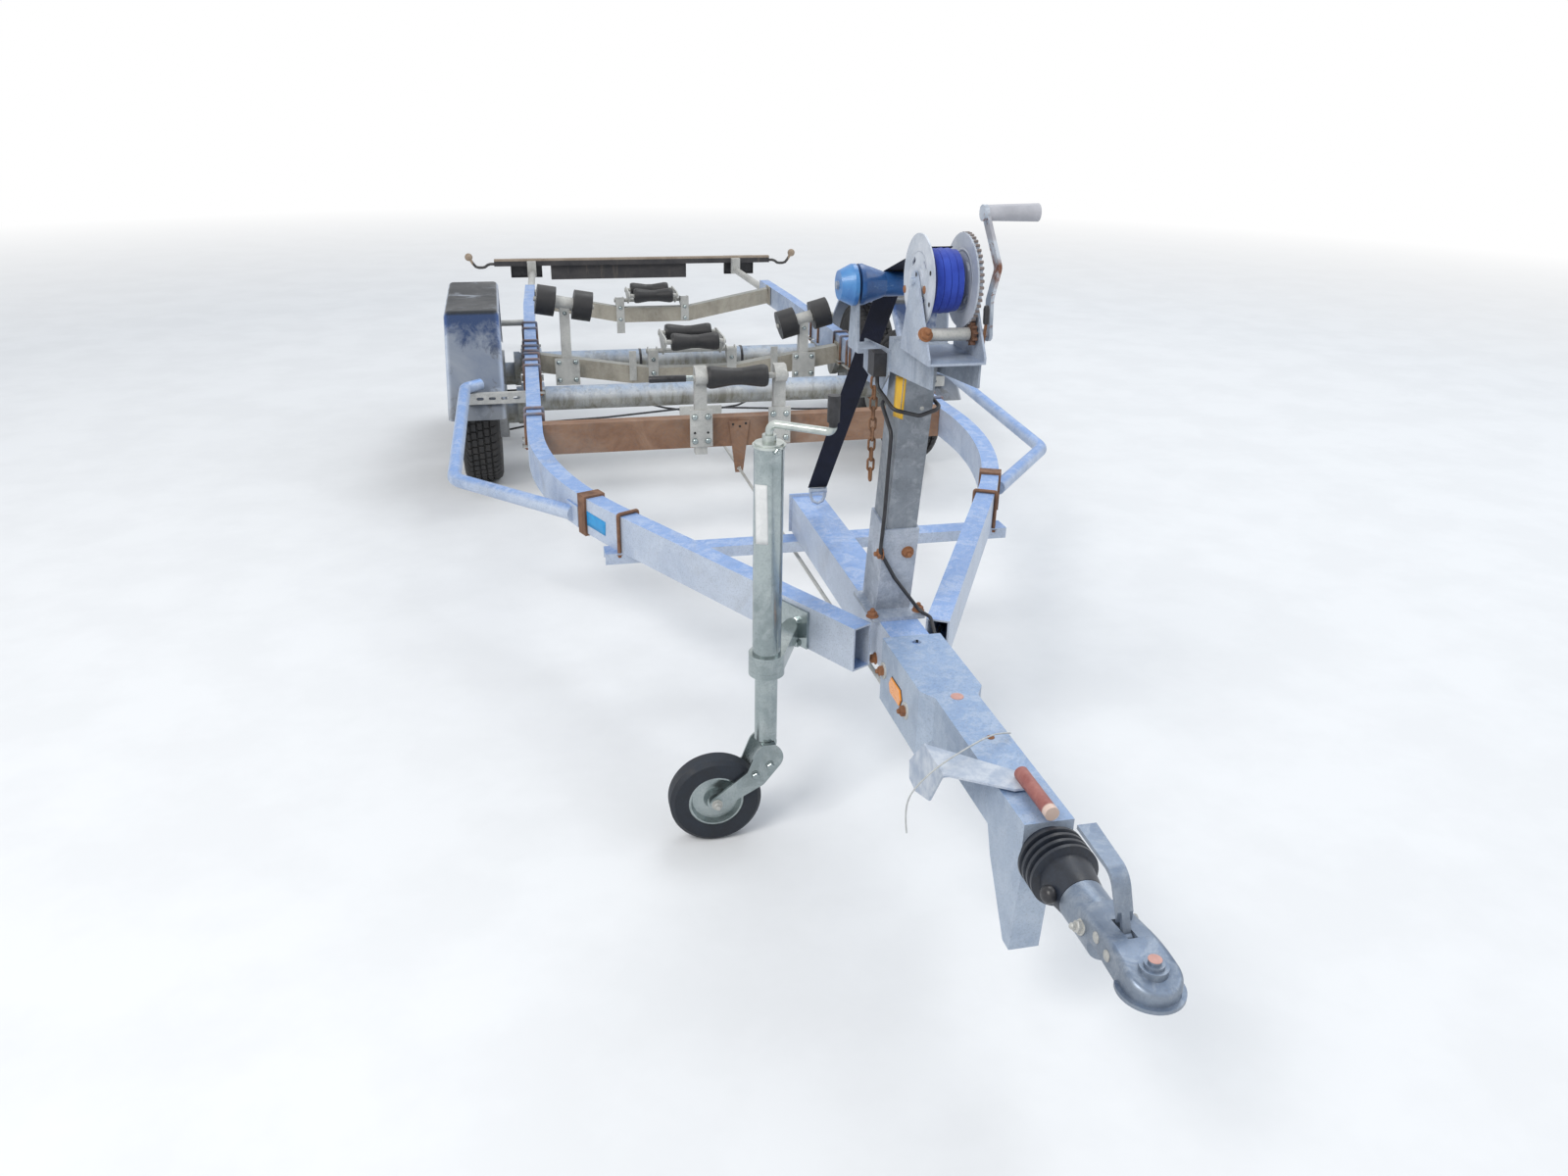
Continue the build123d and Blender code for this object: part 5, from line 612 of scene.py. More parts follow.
PHOTO_WIDTH = 1600
PHOTO_HEIGHT = 1200
CAMERA_PITCH = 23.58
CAMERA_ROLL = 1.07
CAMERA_YAW = 13.25
CAMERA_PLACE = (-0.763, -4.1875, 1.5536)
SENSOR = 36.0
FOCAL_LENGTH = 27.25
scene = bpy.context.scene
camera_data = bpy.data.cameras.new("photo camera")
camera_data.sensor_width = SENSOR
camera_data.lens = FOCAL_LENGTH
camera_data.clip_end = 200
camera = bpy.data.objects.new("photo camera", camera_data)
scene.collection.objects.link(camera)
camera_turn = (
    Matrix.Rotation(math.radians(-CAMERA_YAW), 4, "Z")
    @ Matrix.Rotation(math.radians(90 - CAMERA_PITCH), 4, "X")
    @ Matrix.Rotation(math.radians(CAMERA_ROLL), 4, "Z")
)
camera.matrix_world = Matrix.Translation(CAMERA_PLACE) @ camera_turn
scene.camera = camera

# Where pieces sit: rays that find the surface of a node

NODE_BODY = {
    node: body
    for body, members in frame["record"]["behaviour"]["bodies"].items()
    for node in members
}
trees = {
    name: BVHTree.FromPolygons(
        [v.co.copy() for v in o.data.vertices], [tuple(p.vertices) for p in o.data.polygons]
    )
    for name, o in nodes.items()
}


def hit(start, direction, only=None):
    """Nearest surface along a ray, as (place, normal facing the ray, node)."""
    start = Vector(start)
    direction = Vector(direction).normalized()
    best = None
    for node in only or trees:
        place, normal, _, distance = trees[node].ray_cast(start, direction)
        if place is not None and (best is None or distance < best[3]):
            if normal.dot(direction) > 0:
                normal = -normal
            best = (place, normal, node, distance)
    return best[:3] if best else None


def line_of_sight(u, v):
    """Direction from the camera through a place in the photograph, given in its pixels."""
    pixel = SENSOR / PHOTO_WIDTH / FOCAL_LENGTH
    across, up = (u - PHOTO_WIDTH / 2) * pixel, (PHOTO_HEIGHT / 2 - v) * pixel
    return camera_turn.to_3x3() @ Vector((across, up, -1.0))


def seen(u, v, only=None):
    """What the camera sees at a place in the photograph."""
    return hit(CAMERA_PLACE, line_of_sight(u, v), only)


def on_plane(u, v, x):
    """Where the line of sight through a place in the photograph passes an upright plane at X."""
    eye = Vector(CAMERA_PLACE)
    ray = line_of_sight(u, v)
    return eye + ray * ((x - eye.x) / ray.x)


def part_way(a, b, part):
    """The place that lies a part of the way from a to b."""
    return tuple(p * (1 - part) + q * part for p, q in zip(a, b))


# Making pieces


def skin(rings, sides, foot=True):
    """Faces of a body built of closed rings, capped at its top and, if asked, at its foot."""
    faces = [
        (i * sides + k, i * sides + (k + 1) % sides, (i + 1) * sides + (k + 1) % sides, (i + 1) * sides + k)
        for i in range(rings - 1)
        for k in range(sides)
    ]
    if foot:
        faces.append(tuple(reversed(range(sides))))
    faces.append(tuple(range((rings - 1) * sides, rings * sides)))
    return faces


SHARP_ANGLE = 32


class Piece:
    """A mesh under construction, in metres, of one material or of several, given by their names."""

    def __init__(self, name, body, material=None):
        self.name = name
        self.body = body
        self.material = material
        self.materials = []
        self.vertices = []
        self.faces = []
        self.slots = []
        self.smooth = []

    def add(self, vertices, faces, material=None, smooth=True):
        material = material or self.material
        if material not in self.materials:
            self.materials.append(material)
        first = len(self.vertices)
        self.vertices += [tuple(v) for v in vertices]
        self.faces += [[first + i for i in face] for face in faces]
        self.slots += [self.materials.index(material)] * len(faces)
        self.smooth += [smooth] * len(faces)

    def lathe(self, at, axis, profile, sides=24, material=None, smooth=True, turn=0.0):
        """Turns (radius, height) pairs in millimetres about an axis that leaves a place."""
        at = Vector(at)
        axes = Vector(axis).to_track_quat("Z", "Y").to_matrix()
        rings = []
        vertices = []
        for radius, height in profile:
            ring = []
            for k in range(sides if radius > 0 else 1):
                angle = turn + 2 * math.pi * k / sides
                local = Vector((radius * math.cos(angle), radius * math.sin(angle), height)) / 1000
                ring.append(len(vertices))
                vertices.append(at + axes @ local)
            rings.append(ring)
        faces = []
        for low, high in zip(rings, rings[1:]):
            for k in range(sides):
                after = (k + 1) % sides
                face = (
                    low[k % len(low)], low[after % len(low)], high[after % len(high)], high[k % len(high)]
                )
                face = tuple(dict.fromkeys(face))
                if len(face) > 2:
                    faces.append(face)
        self.add(vertices, faces, material, smooth)

    def tube(self, points, radius, sides=10, material=None):
        """A round bar through points in metres, with flat ends."""
        points = [Vector(p) for p in points]
        vertices = []
        side = None
        for i, place in enumerate(points):
            run = (points[min(i + 1, len(points) - 1)] - points[max(i - 1, 0)]).normalized()
            if side is None:
                side = run.orthogonal().normalized()
            side = (side - run * side.dot(run)).normalized()
            other = run.cross(side)
            for k in range(sides):
                angle = 2 * math.pi * k / sides
                vertices.append(place + (side * math.cos(angle) + other * math.sin(angle)) * radius)
        self.add(vertices, skin(len(points), sides), material)

    def plate(self, at, across, up, outline, thickness, material=None, edge=0.6):
        """A flat plate with a softened rim: outline in millimetres, rising from its place."""
        at = Vector(at)
        across = Vector(across).normalized()
        out = across.cross(Vector(up)).normalized()
        up = out.cross(across)
        middle = Vector((sum(p[0] for p in outline), sum(p[1] for p in outline))) / len(outline)
        layers = ((0.0, 0.0), (0.0, thickness - edge), (edge, thickness))
        vertices = []
        for inset, height in layers:
            for x, y in outline:
                inward = (middle - Vector((x, y))).normalized() * inset
                offset = across * (x + inward.x) + up * (y + inward.y) + out * height
                vertices.append(at + offset / 1000)
        self.add(vertices, skin(len(layers), len(outline), False), material, False)

    def done(self):
        mesh = bpy.data.meshes.new(self.name)
        mesh.from_pydata(self.vertices, [], self.faces)
        for key in self.materials:
            mesh.materials.append(M[key])
        mesh.polygons.foreach_set("material_index", self.slots)
        mesh.polygons.foreach_set("use_smooth", self.smooth)
        mesh.update()
        mesh.set_sharp_from_angle(angle=math.radians(SHARP_ANGLE))
        o = bpy.data.objects.new(self.name, mesh)
        scene.collection.objects.link(o)
        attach(o, self.body)
        return o


def rectangle(width, height):
    x, y = width / 2, height / 2
    return [(-x, -y), (x, -y), (x, y), (-x, y)]


# Fasteners: corner radius, head height, washer (radius, thickness), stub (radius, length),
# all in millimetres, then the head's material and the washer's
FASTENERS = {
    "rusty nut": (11.0, 9.0, (13.5, 2.0), (5.0, 7.0), "rusty bolts", "rusty bolts"),
    "washer nut": (11.0, 9.0, (17.5, 3.0), (5.0, 6.0), "rusty bolts", "bracket zinc"),
    "small rusty nut": (8.0, 6.5, (9.5, 1.5), (4.0, 4.0), "rusty bolts", "rusty bolts"),
    "zinc nut": (9.5, 8.0, (12.0, 2.0), (5.0, 8.0), "bracket zinc", "bracket zinc"),
    "small nut": (7.5, 6.0, (9.0, 1.5), (3.8, 3.5), "bright zinc", "bright zinc"),
    "zinc bolt": (8.6, 6.0, (10.5, 1.8), None, "bright zinc", "bright zinc"),
    "wheel bolt": (11.5, 13.0, (12.5, 3.0), None, "bright zinc", "bright zinc"),
}
# Round heads: profile of (radius, height) in millimetres, and the material
ROUND_HEADS = {
    "rivet": ([(8.5, 0), (8.3, 1.4), (6.6, 2.6), (3.4, 3.0), (0, 3.0)], "bracket zinc"),
    "small rivet": ([(4.6, 0), (4.4, 1.0), (3.0, 2.0), (0, 2.4)], "bracket zinc"),
    "rusty rivet": ([(7.0, 0), (6.8, 1.2), (4.6, 2.0), (0, 2.2)], "rusty bolts"),
    "dome": ([(10.5, 0), (10.2, 3.0), (7.4, 6.6), (3.8, 8.2), (0, 8.6)], "bright zinc"),
    "flat pin": ([(12.5, 0), (12.2, 1.2), (10.5, 1.8), (0, 1.9)], "worn pin"),
    "worn pin": ([(9.6, 0), (9.4, 0.8), (8.4, 1.2), (0, 1.3)], "worn pin"),
    "knob": (
        [(10.5, 0), (13.5, 3.0), (14.5, 8.0), (12.5, 13.5), (7.5, 17.5), (0, 18.5)], "black plastic"
    ),
    # The hole and the slot hole are thin near-black discs: painted shade that stands for the dark inside of
    # a hole
    "hole": ([(5.0, 0.0), (5.0, 0.35), (0, 0.4)], "dark hole"),
    "slot hole": ([(4.2, 0.0), (4.2, 0.35), (0, 0.4)], "dark hole"),
}
fastener_pieces = {}

# Faces round each part, and the shares to which their tops are eased
ROUND_SIDES, WASHER_SIDES, HEAD_SIDES, STUB_SIDES = 18, 20, 6, 12
WASHER_CROWN, HEAD_CROWN, STUB_CROWN = 0.95, 0.86, 0.75
EASED_FROM = 0.8


def cap(radius, height, crown):
    """Profile of a short cylinder whose top is eased to a share of its radius."""
    return [(radius, 0), (radius, height * EASED_FROM), (radius * crown, height), (0, height)]


def fasten(kind, place, axis, body):
    """Puts one fastener on a surface; those of a body are one piece."""
    if body not in fastener_pieces:
        fastener_pieces[body] = Piece(f"{body}_fasteners", body)
    piece = fastener_pieces[body]
    place = Vector(place)
    axis = Vector(axis).normalized()
    turn = random.uniform(0, math.pi / 3)
    if kind in ROUND_HEADS:
        profile, material = ROUND_HEADS[kind]
        piece.lathe(place, axis, profile, ROUND_SIDES, material)
        return
    corner, height, washer, stub, material, washer_material = FASTENERS[kind]
    piece.lathe(place, axis, cap(*washer, WASHER_CROWN), WASHER_SIDES, washer_material)
    head_foot = place + axis * washer[1] / 1000
    piece.lathe(head_foot, axis, cap(corner, height, HEAD_CROWN), HEAD_SIDES, material, False, turn)
    if stub:
        stub_foot = head_foot + axis * height / 1000
        piece.lathe(stub_foot, axis, cap(*stub, STUB_CROWN), STUB_SIDES, material)


def fasten_at(kind, found, axis=None):
    """Puts a fastener where a ray ended, square to the surface or along a given axis."""
    if found:
        place, normal, node = found
        fasten(kind, place, axis or normal, NODE_BODY[node])


# Fasteners seen in the photograph: its pixel across and down, the kind, and whether the trailer's
# other side has one too
SEEN_FASTENERS = (
    (1103, 946, "zinc nut", True), (1118.7, 956.7, "rivet", True), (1129.5, 975.3, "rivet", True),
    (1074, 912, "knob", False), (893.3, 671.7, "rusty nut", False), (902.0, 684.2, "washer nut", True),
    (924.2, 725, "washer nut", True), (976.7, 710.8, "flat pin", False),
    (1010.8, 752.5, "rusty rivet", False), (935.8, 655, "hole", False),
    (926, 563, "rusty nut", True), (940.8, 416.7, "small rivet", False),
    (923.3, 295, "rusty rivet", False), (944.2, 341.7, "rusty nut", False),
    (943.3, 295.8, "rusty rivet", False), (935, 280, "slot hole", False),
    (949.5, 279, "slot hole", False), (948, 311, "slot hole", False), (748, 433, "slot hole", False),
    (755, 435, "slot hole", False), (761, 432, "slot hole", False), (786, 781, "zinc bolt", False),
    (771, 791, "zinc bolt", False), (792.7, 460.7, "small nut", False),
    (813.3, 632.7, "zinc bolt", False), (813.3, 655.7, "zinc bolt", False),
)
# How far out a ray starts that looks for the other side's surface
OTHER_SIDE_START = 0.2
for u, v, kind, mirrored in SEEN_FASTENERS:
    found = seen(u, v)
    fasten_at(kind, found)
    if mirrored:
        x, y, z = found[0]
        start = (-x + math.copysign(OTHER_SIDE_START, -x), y, z)
        fasten_at(kind, hit(start, (x, 0, 0)))

# Fasteners found from above: X, distance behind the ball, the kind
ABOVE_START = 0.62
FROM_ABOVE = (
    (-46, 1246, "rusty nut"), (-55, 1099, "rusty nut"), (51, 1110, "rusty nut"),
    (48, 1240, "rusty nut"), (0, 0, "worn pin"),
)
for x, d, kind in FROM_ABOVE:
    fasten_at(kind, hit((x / 1000, behind(d), ABOVE_START), (0, 0, -1)))


def from_front(kind, x, d, z, node="roller_brackets"):
    """Puts a fastener where a ray to the rear, from a distance behind the ball, meets a node."""
    fasten_at(kind, hit((x / 1000, behind(d), z / 1000), (0, 1, 0), [node]), (0, -1, 0))


# On the keel roller's plates domes beside slot holes, on the side rollers' plates pairs of domes,
# and the nuts on the slanting pins: X and height in millimetres
FRONT_START = 2300
KEEL_PLATES, KEEL_HALF, KEEL_DOMES, KEEL_SLOT = (-165, 100), 22, (500, 418), 446
SIDE_PLATES, SIDE_HALF = ((-535, 420), (-535, 346), (481, 412), (481, 338)), 34
PIN_NUTS = ((-535, 622), (481, 534))
FROM_FRONT = [
    *((x + sign * KEEL_HALF, z, "dome") for x in KEEL_PLATES for sign in (-1, 1) for z in KEEL_DOMES),
    *((x + sign * KEEL_HALF, KEEL_SLOT, "slot hole") for x in KEEL_PLATES for sign in (-1, 1)),
    *((x + sign * SIDE_HALF, z, "dome") for x, z in SIDE_PLATES for sign in (-1, 1)),
    *((x, z, "small nut") for x, z in PIN_NUTS),
]
for x, z, kind in FROM_FRONT:
    from_front(kind, x, FRONT_START, z)

# Nut on the small wheel's axle: X, where its ray starts behind the ball, height
JOCKEY_AXLE = (-400, 802.5, 100)
from_front("zinc nut", *JOCKEY_AXLE, "jockey_fork")

# Domes and nuts on the posts of the two cradles: where the rays start, then X and height
DOME_BELOW = 400
CRADLE_BOLTS = (
    (3700, ((-170, 352), (-170, 410), (170, 352), (170, 410))),
    (5000, ((-184, 336), (-184, 395), (156, 336), (156, 395))),
)
for d, places in CRADLE_BOLTS:
    for x, z in places:
        from_front("dome" if z < DOME_BELOW else "small nut", x, d, z)

# Wheel bolts on each rim
WHEEL_PLACES = {"front": 3715, "rear": 4355}
WHEEL_BOLTS = 5
BOLT_CIRCLE = 0.057
AXLE_HEIGHT = 0.275
OUTSIDE = 1.2
WHEELS = [
    (sign, f"{side}_{place_name}", (behind(d), AXLE_HEIGHT))
    for side, sign in (("left", 1), ("right", -1))
    for place_name, d in WHEEL_PLACES.items()
]
for sign, wheel, (axle_y, axle_z) in WHEELS:
    start_angle = random.uniform(0, 1)
    for k in range(WHEEL_BOLTS):
        angle = start_angle + 2 * math.pi * k / WHEEL_BOLTS
        start = (
            sign * OUTSIDE, axle_y + BOLT_CIRCLE * math.cos(angle), axle_z + BOLT_CIRCLE * math.sin(angle)
        )
        fasten_at("wheel bolt", hit(start, (-sign, 0, 0), [f"{wheel}_rim"]), (sign, 0, 0))


def islands(node):
    """The separate solids of a node, each as a list of its vertices' places."""
    mesh = nodes[node].data
    parent = list(range(len(mesh.vertices)))

    def root(i):
        while parent[i] != i:
            parent[i] = parent[parent[i]]
            i = parent[i]
        return i

    weld = {}
    for v in mesh.vertices:
        key = tuple(round(c, 5) for c in v.co)
        parent[root(v.index)] = root(weld.setdefault(key, v.index))
    for e in mesh.edges:
        parent[root(e.vertices[0])] = root(e.vertices[1])
    groups = {}
    for v in mesh.vertices:
        groups.setdefault(root(v.index), []).append(v.co.copy())
    return list(groups.values())


# Plates and nuts under the rails' clamps: a clamp is higher than its rail and bent of many faces,
# and stands on two legs
RAIL_BOTTOM = 0.385
CLAMP_HEIGHT, CLAMP_VERTICES = 0.108, 60
FOOT_DEPTH = 0.001
UNDER_START = 0.15
UNDER_SLACK = 0.004
FOOT_PLATE, FOOT_PLATE_THICKNESS = (88, 38), 5
clamp_feet = Piece("clamp_feet", "chassis", "bracket zinc")
for solid in islands("rail_clamps"):
    low = min(v.z for v in solid)
    feet = [v for v in solid if v.z < low + FOOT_DEPTH]
    middle = sum(feet, Vector()) / len(feet)
    if max(v.z for v in solid) - low <= CLAMP_HEIGHT or len(solid) <= CLAMP_VERTICES:
        continue
    halves = [[v for v in feet if (v.x - middle.x) * sign > 0] for sign in (-1, 1)]
    if not all(halves):
        continue
    legs = [sum(half, Vector()) / len(half) for half in halves]
    below, under_leg, under_other = (
        hit((place.x, place.y, UNDER_START), (0, 0, 1))[0].z for place in (middle, *legs)
    )
    under = min(under_leg, under_other)
    if min(under, below) > RAIL_BOTTOM - UNDER_SLACK:
        run = legs[1] - legs[0]
        up = Vector((0, 0, -1)).cross(run)
        place = (middle.x, middle.y, RAIL_BOTTOM)
        clamp_feet.plate(place, run, up, rectangle(*FOOT_PLATE), FOOT_PLATE_THICKNESS)
        under = RAIL_BOTTOM - FOOT_PLATE_THICKNESS / 1000
    for leg in legs:
        fasten("small rusty nut", (leg.x, leg.y, under), (0, 0, -1), "chassis")
clamp_feet.done()

# Labels, blank, that follow the surface they are stuck on. Corners in the photograph's pixels:
# top left, top right, bottom right, bottom left; then columns and rows of faces
LABELS = (
    (
        "rail_label", "right_rail", "blue label",
        ((585, 513), (618, 533), (618, 547), (585, 527)), 10, 3,
    ),
    (
        "jockey_label", "jockey_outer_tube", "white label",
        ((770.5, 494), (783, 495.5), (784, 556), (771.5, 555)), 8, 10,
    ),
    (
        "post_label", "winch_post", "yellow label",
        ((914.5, 383), (925, 386), (921, 428), (911.5, 424.5)), 6, 8,
    ),
)
LABEL_LIFT = 0.0004


def label(name, node, key, corners, columns, rows):
    """Sticks a blank label on a node, as the camera sees its corners."""
    piece = Piece(name, NODE_BODY[node], key)
    grid = []
    for row in range(rows + 1):
        for column in range(columns + 1):
            top = part_way(corners[0], corners[1], column / columns)
            foot = part_way(corners[3], corners[2], column / columns)
            place, normal, _ = seen(*part_way(top, foot, row / rows), [node])
            grid.append(place + normal * LABEL_LIFT)
    width = columns + 1
    faces = [
        (r * width + c, (r + 1) * width + c, (r + 1) * width + c + 1, r * width + c + 1)
        for r in range(rows)
        for c in range(columns)
    ]
    piece.add(grid, faces)
    thick = piece.done().modifiers.new("thickness", "SOLIDIFY")
    thick.thickness = LABEL_LIFT
    thick.offset = 1.0


for row in LABELS:
    label(*row)

# Six-sided reflectors on both sides of the overrun housing: one seen in the photograph, its
# outline in millimetres, and its dark back, which is a little larger
REFLECTOR_PIXEL = (914.5, 705.5)
HEXAGON = [(-38, 0), (-28, -17), (28, -17), (38, 0), (28, 17), (-28, 17)]
BACK_LENGTH, BACK_HEIGHT = 1.05, 1.1
BACK_THICKNESS, REFLECTOR_THICKNESS, REFLECTOR_EDGE = 1.2, 3.0, 1.4
reflectors = Piece("side_reflectors", "chassis", "orange reflector")
place, normal, _ = seen(*REFLECTOR_PIXEL)
for side in (1, -1):
    centre = Vector((side * place.x, place.y, place.z))
    out = Vector((side * normal.x, normal.y, normal.z))
    along = (out * out.y - Vector((0, 1, 0))) * side
    up = out.cross(along)
    back = [(x * BACK_LENGTH, y * BACK_HEIGHT) for x, y in HEXAGON]
    reflectors.plate(centre, along, up, back, BACK_THICKNESS, "black plastic")
    front = centre + out * BACK_THICKNESS / 1000
    reflectors.plate(front, along, up, HEXAGON, REFLECTOR_THICKNESS, edge=REFLECTOR_EDGE)
reflectors.done()

# Tyres with their tread, in millimetres: four grooves, and cuts across the blocks whose edges
# are given in parts of a pitch, as (part, whether it is cut)
TYRE_RADIUS = 275
TREAD_HALF = 59
GROOVES = (-36, -12, 12, 36)
GROOVE_HALF = 3.5
GROOVE_DEPTH = 7
GROOVE_SLOPE = 1
BLOCK_EDGE = 10
PITCHES = 54
PITCH_STEPS = ((0.0, 0), (0.34, 0), (0.37, 1), (0.50, 1), (0.53, 0), (0.97, 0))
CUT_DEPTH = GROOVE_DEPTH * 0.8
BLOCK_SKEW = 0.18
SHOULDER_FROM, SHOULDER_TO, SHOULDER_CUT = 255, 270, 1.6
WHEEL_OFFSET = 0.898
# (offset from the middle, radius) on the outer half, from the bead to the tread's edge
SIDEWALL = (
    (54, 152.4), (56, 158), (58.5, 166.4), (68, 182), (74, 205), (75, 213), (74, 226), (73.2, 229),
    (74.2, 231), (74, 245), (68, 262), (TREAD_HALF, 269),
)


def tyre_profile():
    """(offset, radius, which band of blocks) from one bead to the other."""
    tread = [(TREAD_HALF - BLOCK_EDGE, TYRE_RADIUS, 5)]
    for number, groove in enumerate(reversed(GROOVES)):
        band = 5 - number
        foot = TYRE_RADIUS - GROOVE_DEPTH
        tread += [
            (groove + GROOVE_HALF, TYRE_RADIUS, band),
            (groove + GROOVE_HALF - GROOVE_SLOPE, foot, 0),
            (groove - GROOVE_HALF + GROOVE_SLOPE, foot, 0),
            (groove - GROOVE_HALF, TYRE_RADIUS, band - 1),
        ]
    tread.append((BLOCK_EDGE - TREAD_HALF, TYRE_RADIUS, 1))
    outer = [(x, r, 0) for x, r in SIDEWALL]
    inner = [(-x, r, 0) for x, r in reversed(SIDEWALL)]
    return outer + tread + inner


def make_tyre(name, body, centre, sign):
    piece = Piece(name, body, "tyre rubber")
    profile = tyre_profile()
    steps = [(pitch + part, cut) for pitch in range(PITCHES) for part, cut in PITCH_STEPS]
    vertices = []
    for pitch_part, cut in steps:
        for x, radius, band in profile:
            angle = 2 * math.pi * (pitch_part + BLOCK_SKEW * band) / PITCHES
            if cut and band:
                radius -= CUT_DEPTH
            elif cut and SHOULDER_FROM < radius < SHOULDER_TO:
                radius -= SHOULDER_CUT
            y, z = radius * math.cos(angle) / 1000, radius * math.sin(angle) / 1000
            vertices.append((centre[0] + sign * x / 1000, centre[1] + y, centre[2] + z))
    n = len(profile)
    faces = []
    for i in range(len(steps)):
        following = (i + 1) % len(steps)
        for k in range(n):
            beside = (k + 1) % n
            quad = (i * n + k, following * n + k, following * n + beside, i * n + beside)
            faces.append(quad if sign < 0 else tuple(reversed(quad)))
    piece.add(vertices, faces)
    return piece.done()


for sign, wheel, axle in WHEELS:
    tyre = make_tyre(f"{wheel}_tyre_treaded", f"{wheel}_wheel", (sign * WHEEL_OFFSET, *axle), sign)
    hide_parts(f"{wheel}_tyre")

# Strap wound on the winch's drum: parts of its width, and the share of its radius that is reached
coil_low, coil_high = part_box("wound_strap")
coil_width = (coil_high[0] - coil_low[0]) * 1000
coil_radius = (coil_high[2] - coil_low[2]) * 500
COIL_BORE = 0.3
COIL_MARGIN = 0.004
COIL_TURNS = (
    (0.00, 0.950), (0.235, 0.985), (0.250, 0.925), (0.265, 0.975), (0.490, 1.000), (0.505, 0.935),
    (0.520, 0.975), (0.745, 0.990), (0.760, 0.925), (0.775, 0.960), (1.00, 0.945),
)
coil = Piece("strap_coil", "winch_reel", "wound webbing")
coil_profile = [(coil_radius * COIL_BORE, 0)]
for part, reach in COIL_TURNS:
    inside = min(max(part, COIL_MARGIN), 1 - COIL_MARGIN)
    coil_profile.append((coil_radius * reach, coil_width * inside))
coil_profile.append((coil_radius * COIL_BORE, coil_width))
coil.lathe((coil_low[0], *DRUM_PLACE), (1, 0, 0), coil_profile, 72)
coil_piece = coil.done()
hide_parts("wound_strap")

SLEEVE_START = -0.052
SLEEVE_PROFILE = [(8, 0), (11.2, 0), (11.5, 0.6), (11.5, 83.4), (11.2, 84), (8, 84)]
sleeve = Piece("pinion_sleeve", "winch_handle", "bracket zinc")
sleeve.lathe((SLEEVE_START, *PINION_PLACE), (1, 0, 0), SLEEVE_PROFILE)
sleeve.done()

# Ratchet lever beside the winch, on an upright plane at LEVER_X: the photograph's pixels of its
# grip's top and foot and of its arm's foot
LEVER_X = 0.0525
LEVER_RADIUS = 0.0028
ARM_INSIDE = 0.3
RATCHET_PIXELS = (1007.0, 311.0), (1006.0, 331.0), (1002.5, 356.0)
grip_top, grip_foot, arm_foot = (on_plane(*pixel, LEVER_X) for pixel in RATCHET_PIXELS)
grip_length = (grip_top - grip_foot).length * 1000
ratchet = Piece("ratchet_lever", "chassis", "rusty steel")
arm_end = grip_foot * (1 - ARM_INSIDE) + grip_top * ARM_INSIDE
ratchet.tube([arm_foot, grip_foot, arm_end], LEVER_RADIUS, 12)
ratchet.lathe(
    grip_foot, grip_top - grip_foot,
    [(0, 0), (4.6, 0), (5.4, 3), (5.6, grip_length - 8), (4.4, grip_length - 2), (0, grip_length)],
    18, "black plastic",
)
ratchet.done()

# Keel roller's shaft, drawn out to the trailer's right with a sleeve on it
KEEL_PIN = (behind(2690), 0.631)
SHAFT_START, SHAFT_SLEEVE_START = -0.190, -0.214
SHAFT_PROFILE = [(0, 0), (9, 0), (9, 30), (0, 30)]
SHAFT_SLEEVE_PROFILE = [(9, 0), (11.5, 1), (11.5, 118), (10, 121), (0, 121)]
shaft = Piece("keel_shaft_end", "chassis", "bright zinc")
shaft.lathe((SHAFT_START, *KEEL_PIN), (-1, 0, 0), SHAFT_PROFILE, 20)
shaft.lathe((SHAFT_SLEEVE_START, *KEEL_PIN), (-1, 0, 0), SHAFT_SLEEVE_PROFILE, 20, "black plastic")
shaft.done()

# Black ties round the axle tubes, found in the photograph by their pixels
TIE_PIXELS = ((654, 366), (757, 358))
AXLE_TUBES = {"front_axle": 3660, "rear_axle": 4300}
AXLE_TUBE_RADIUS = 47.5
TIE_THICKNESS = 2.5
TIE_TOP = AXLE_TUBE_RADIUS + TIE_THICKNESS
TIE_PROFILE = [(AXLE_TUBE_RADIUS, -6), (TIE_TOP, -5), (TIE_TOP, 5), (AXLE_TUBE_RADIUS, 6)]
TIE_START = 0.9
ties = Piece("axle_ties", "chassis", "black plastic")
for pixel in TIE_PIXELS:
    place, _, node = seen(*pixel, AXLE_TUBES)
    middle_y = behind(AXLE_TUBES[node])
    top = hit((place.x, middle_y, TIE_START), (0, 0, -1), [node])[0].z
    ties.lathe((place.x, middle_y, top - AXLE_TUBE_RADIUS / 1000), (1, 0, 0), TIE_PROFILE, 40)
ties.done()

# Rear lamps and the marker arms beside the board, in millimetres
LAMP_INNER, LAMP_OUTER = 545, 725
LAMP_BOTTOM, LAMP_TOP = 405, 512
LAMP_FOOT, LAMP_RIM, LAMP_FACE = 6222, 6245, 6252
LAMP_EDGE, FIELD_EDGE = 3, 2.2
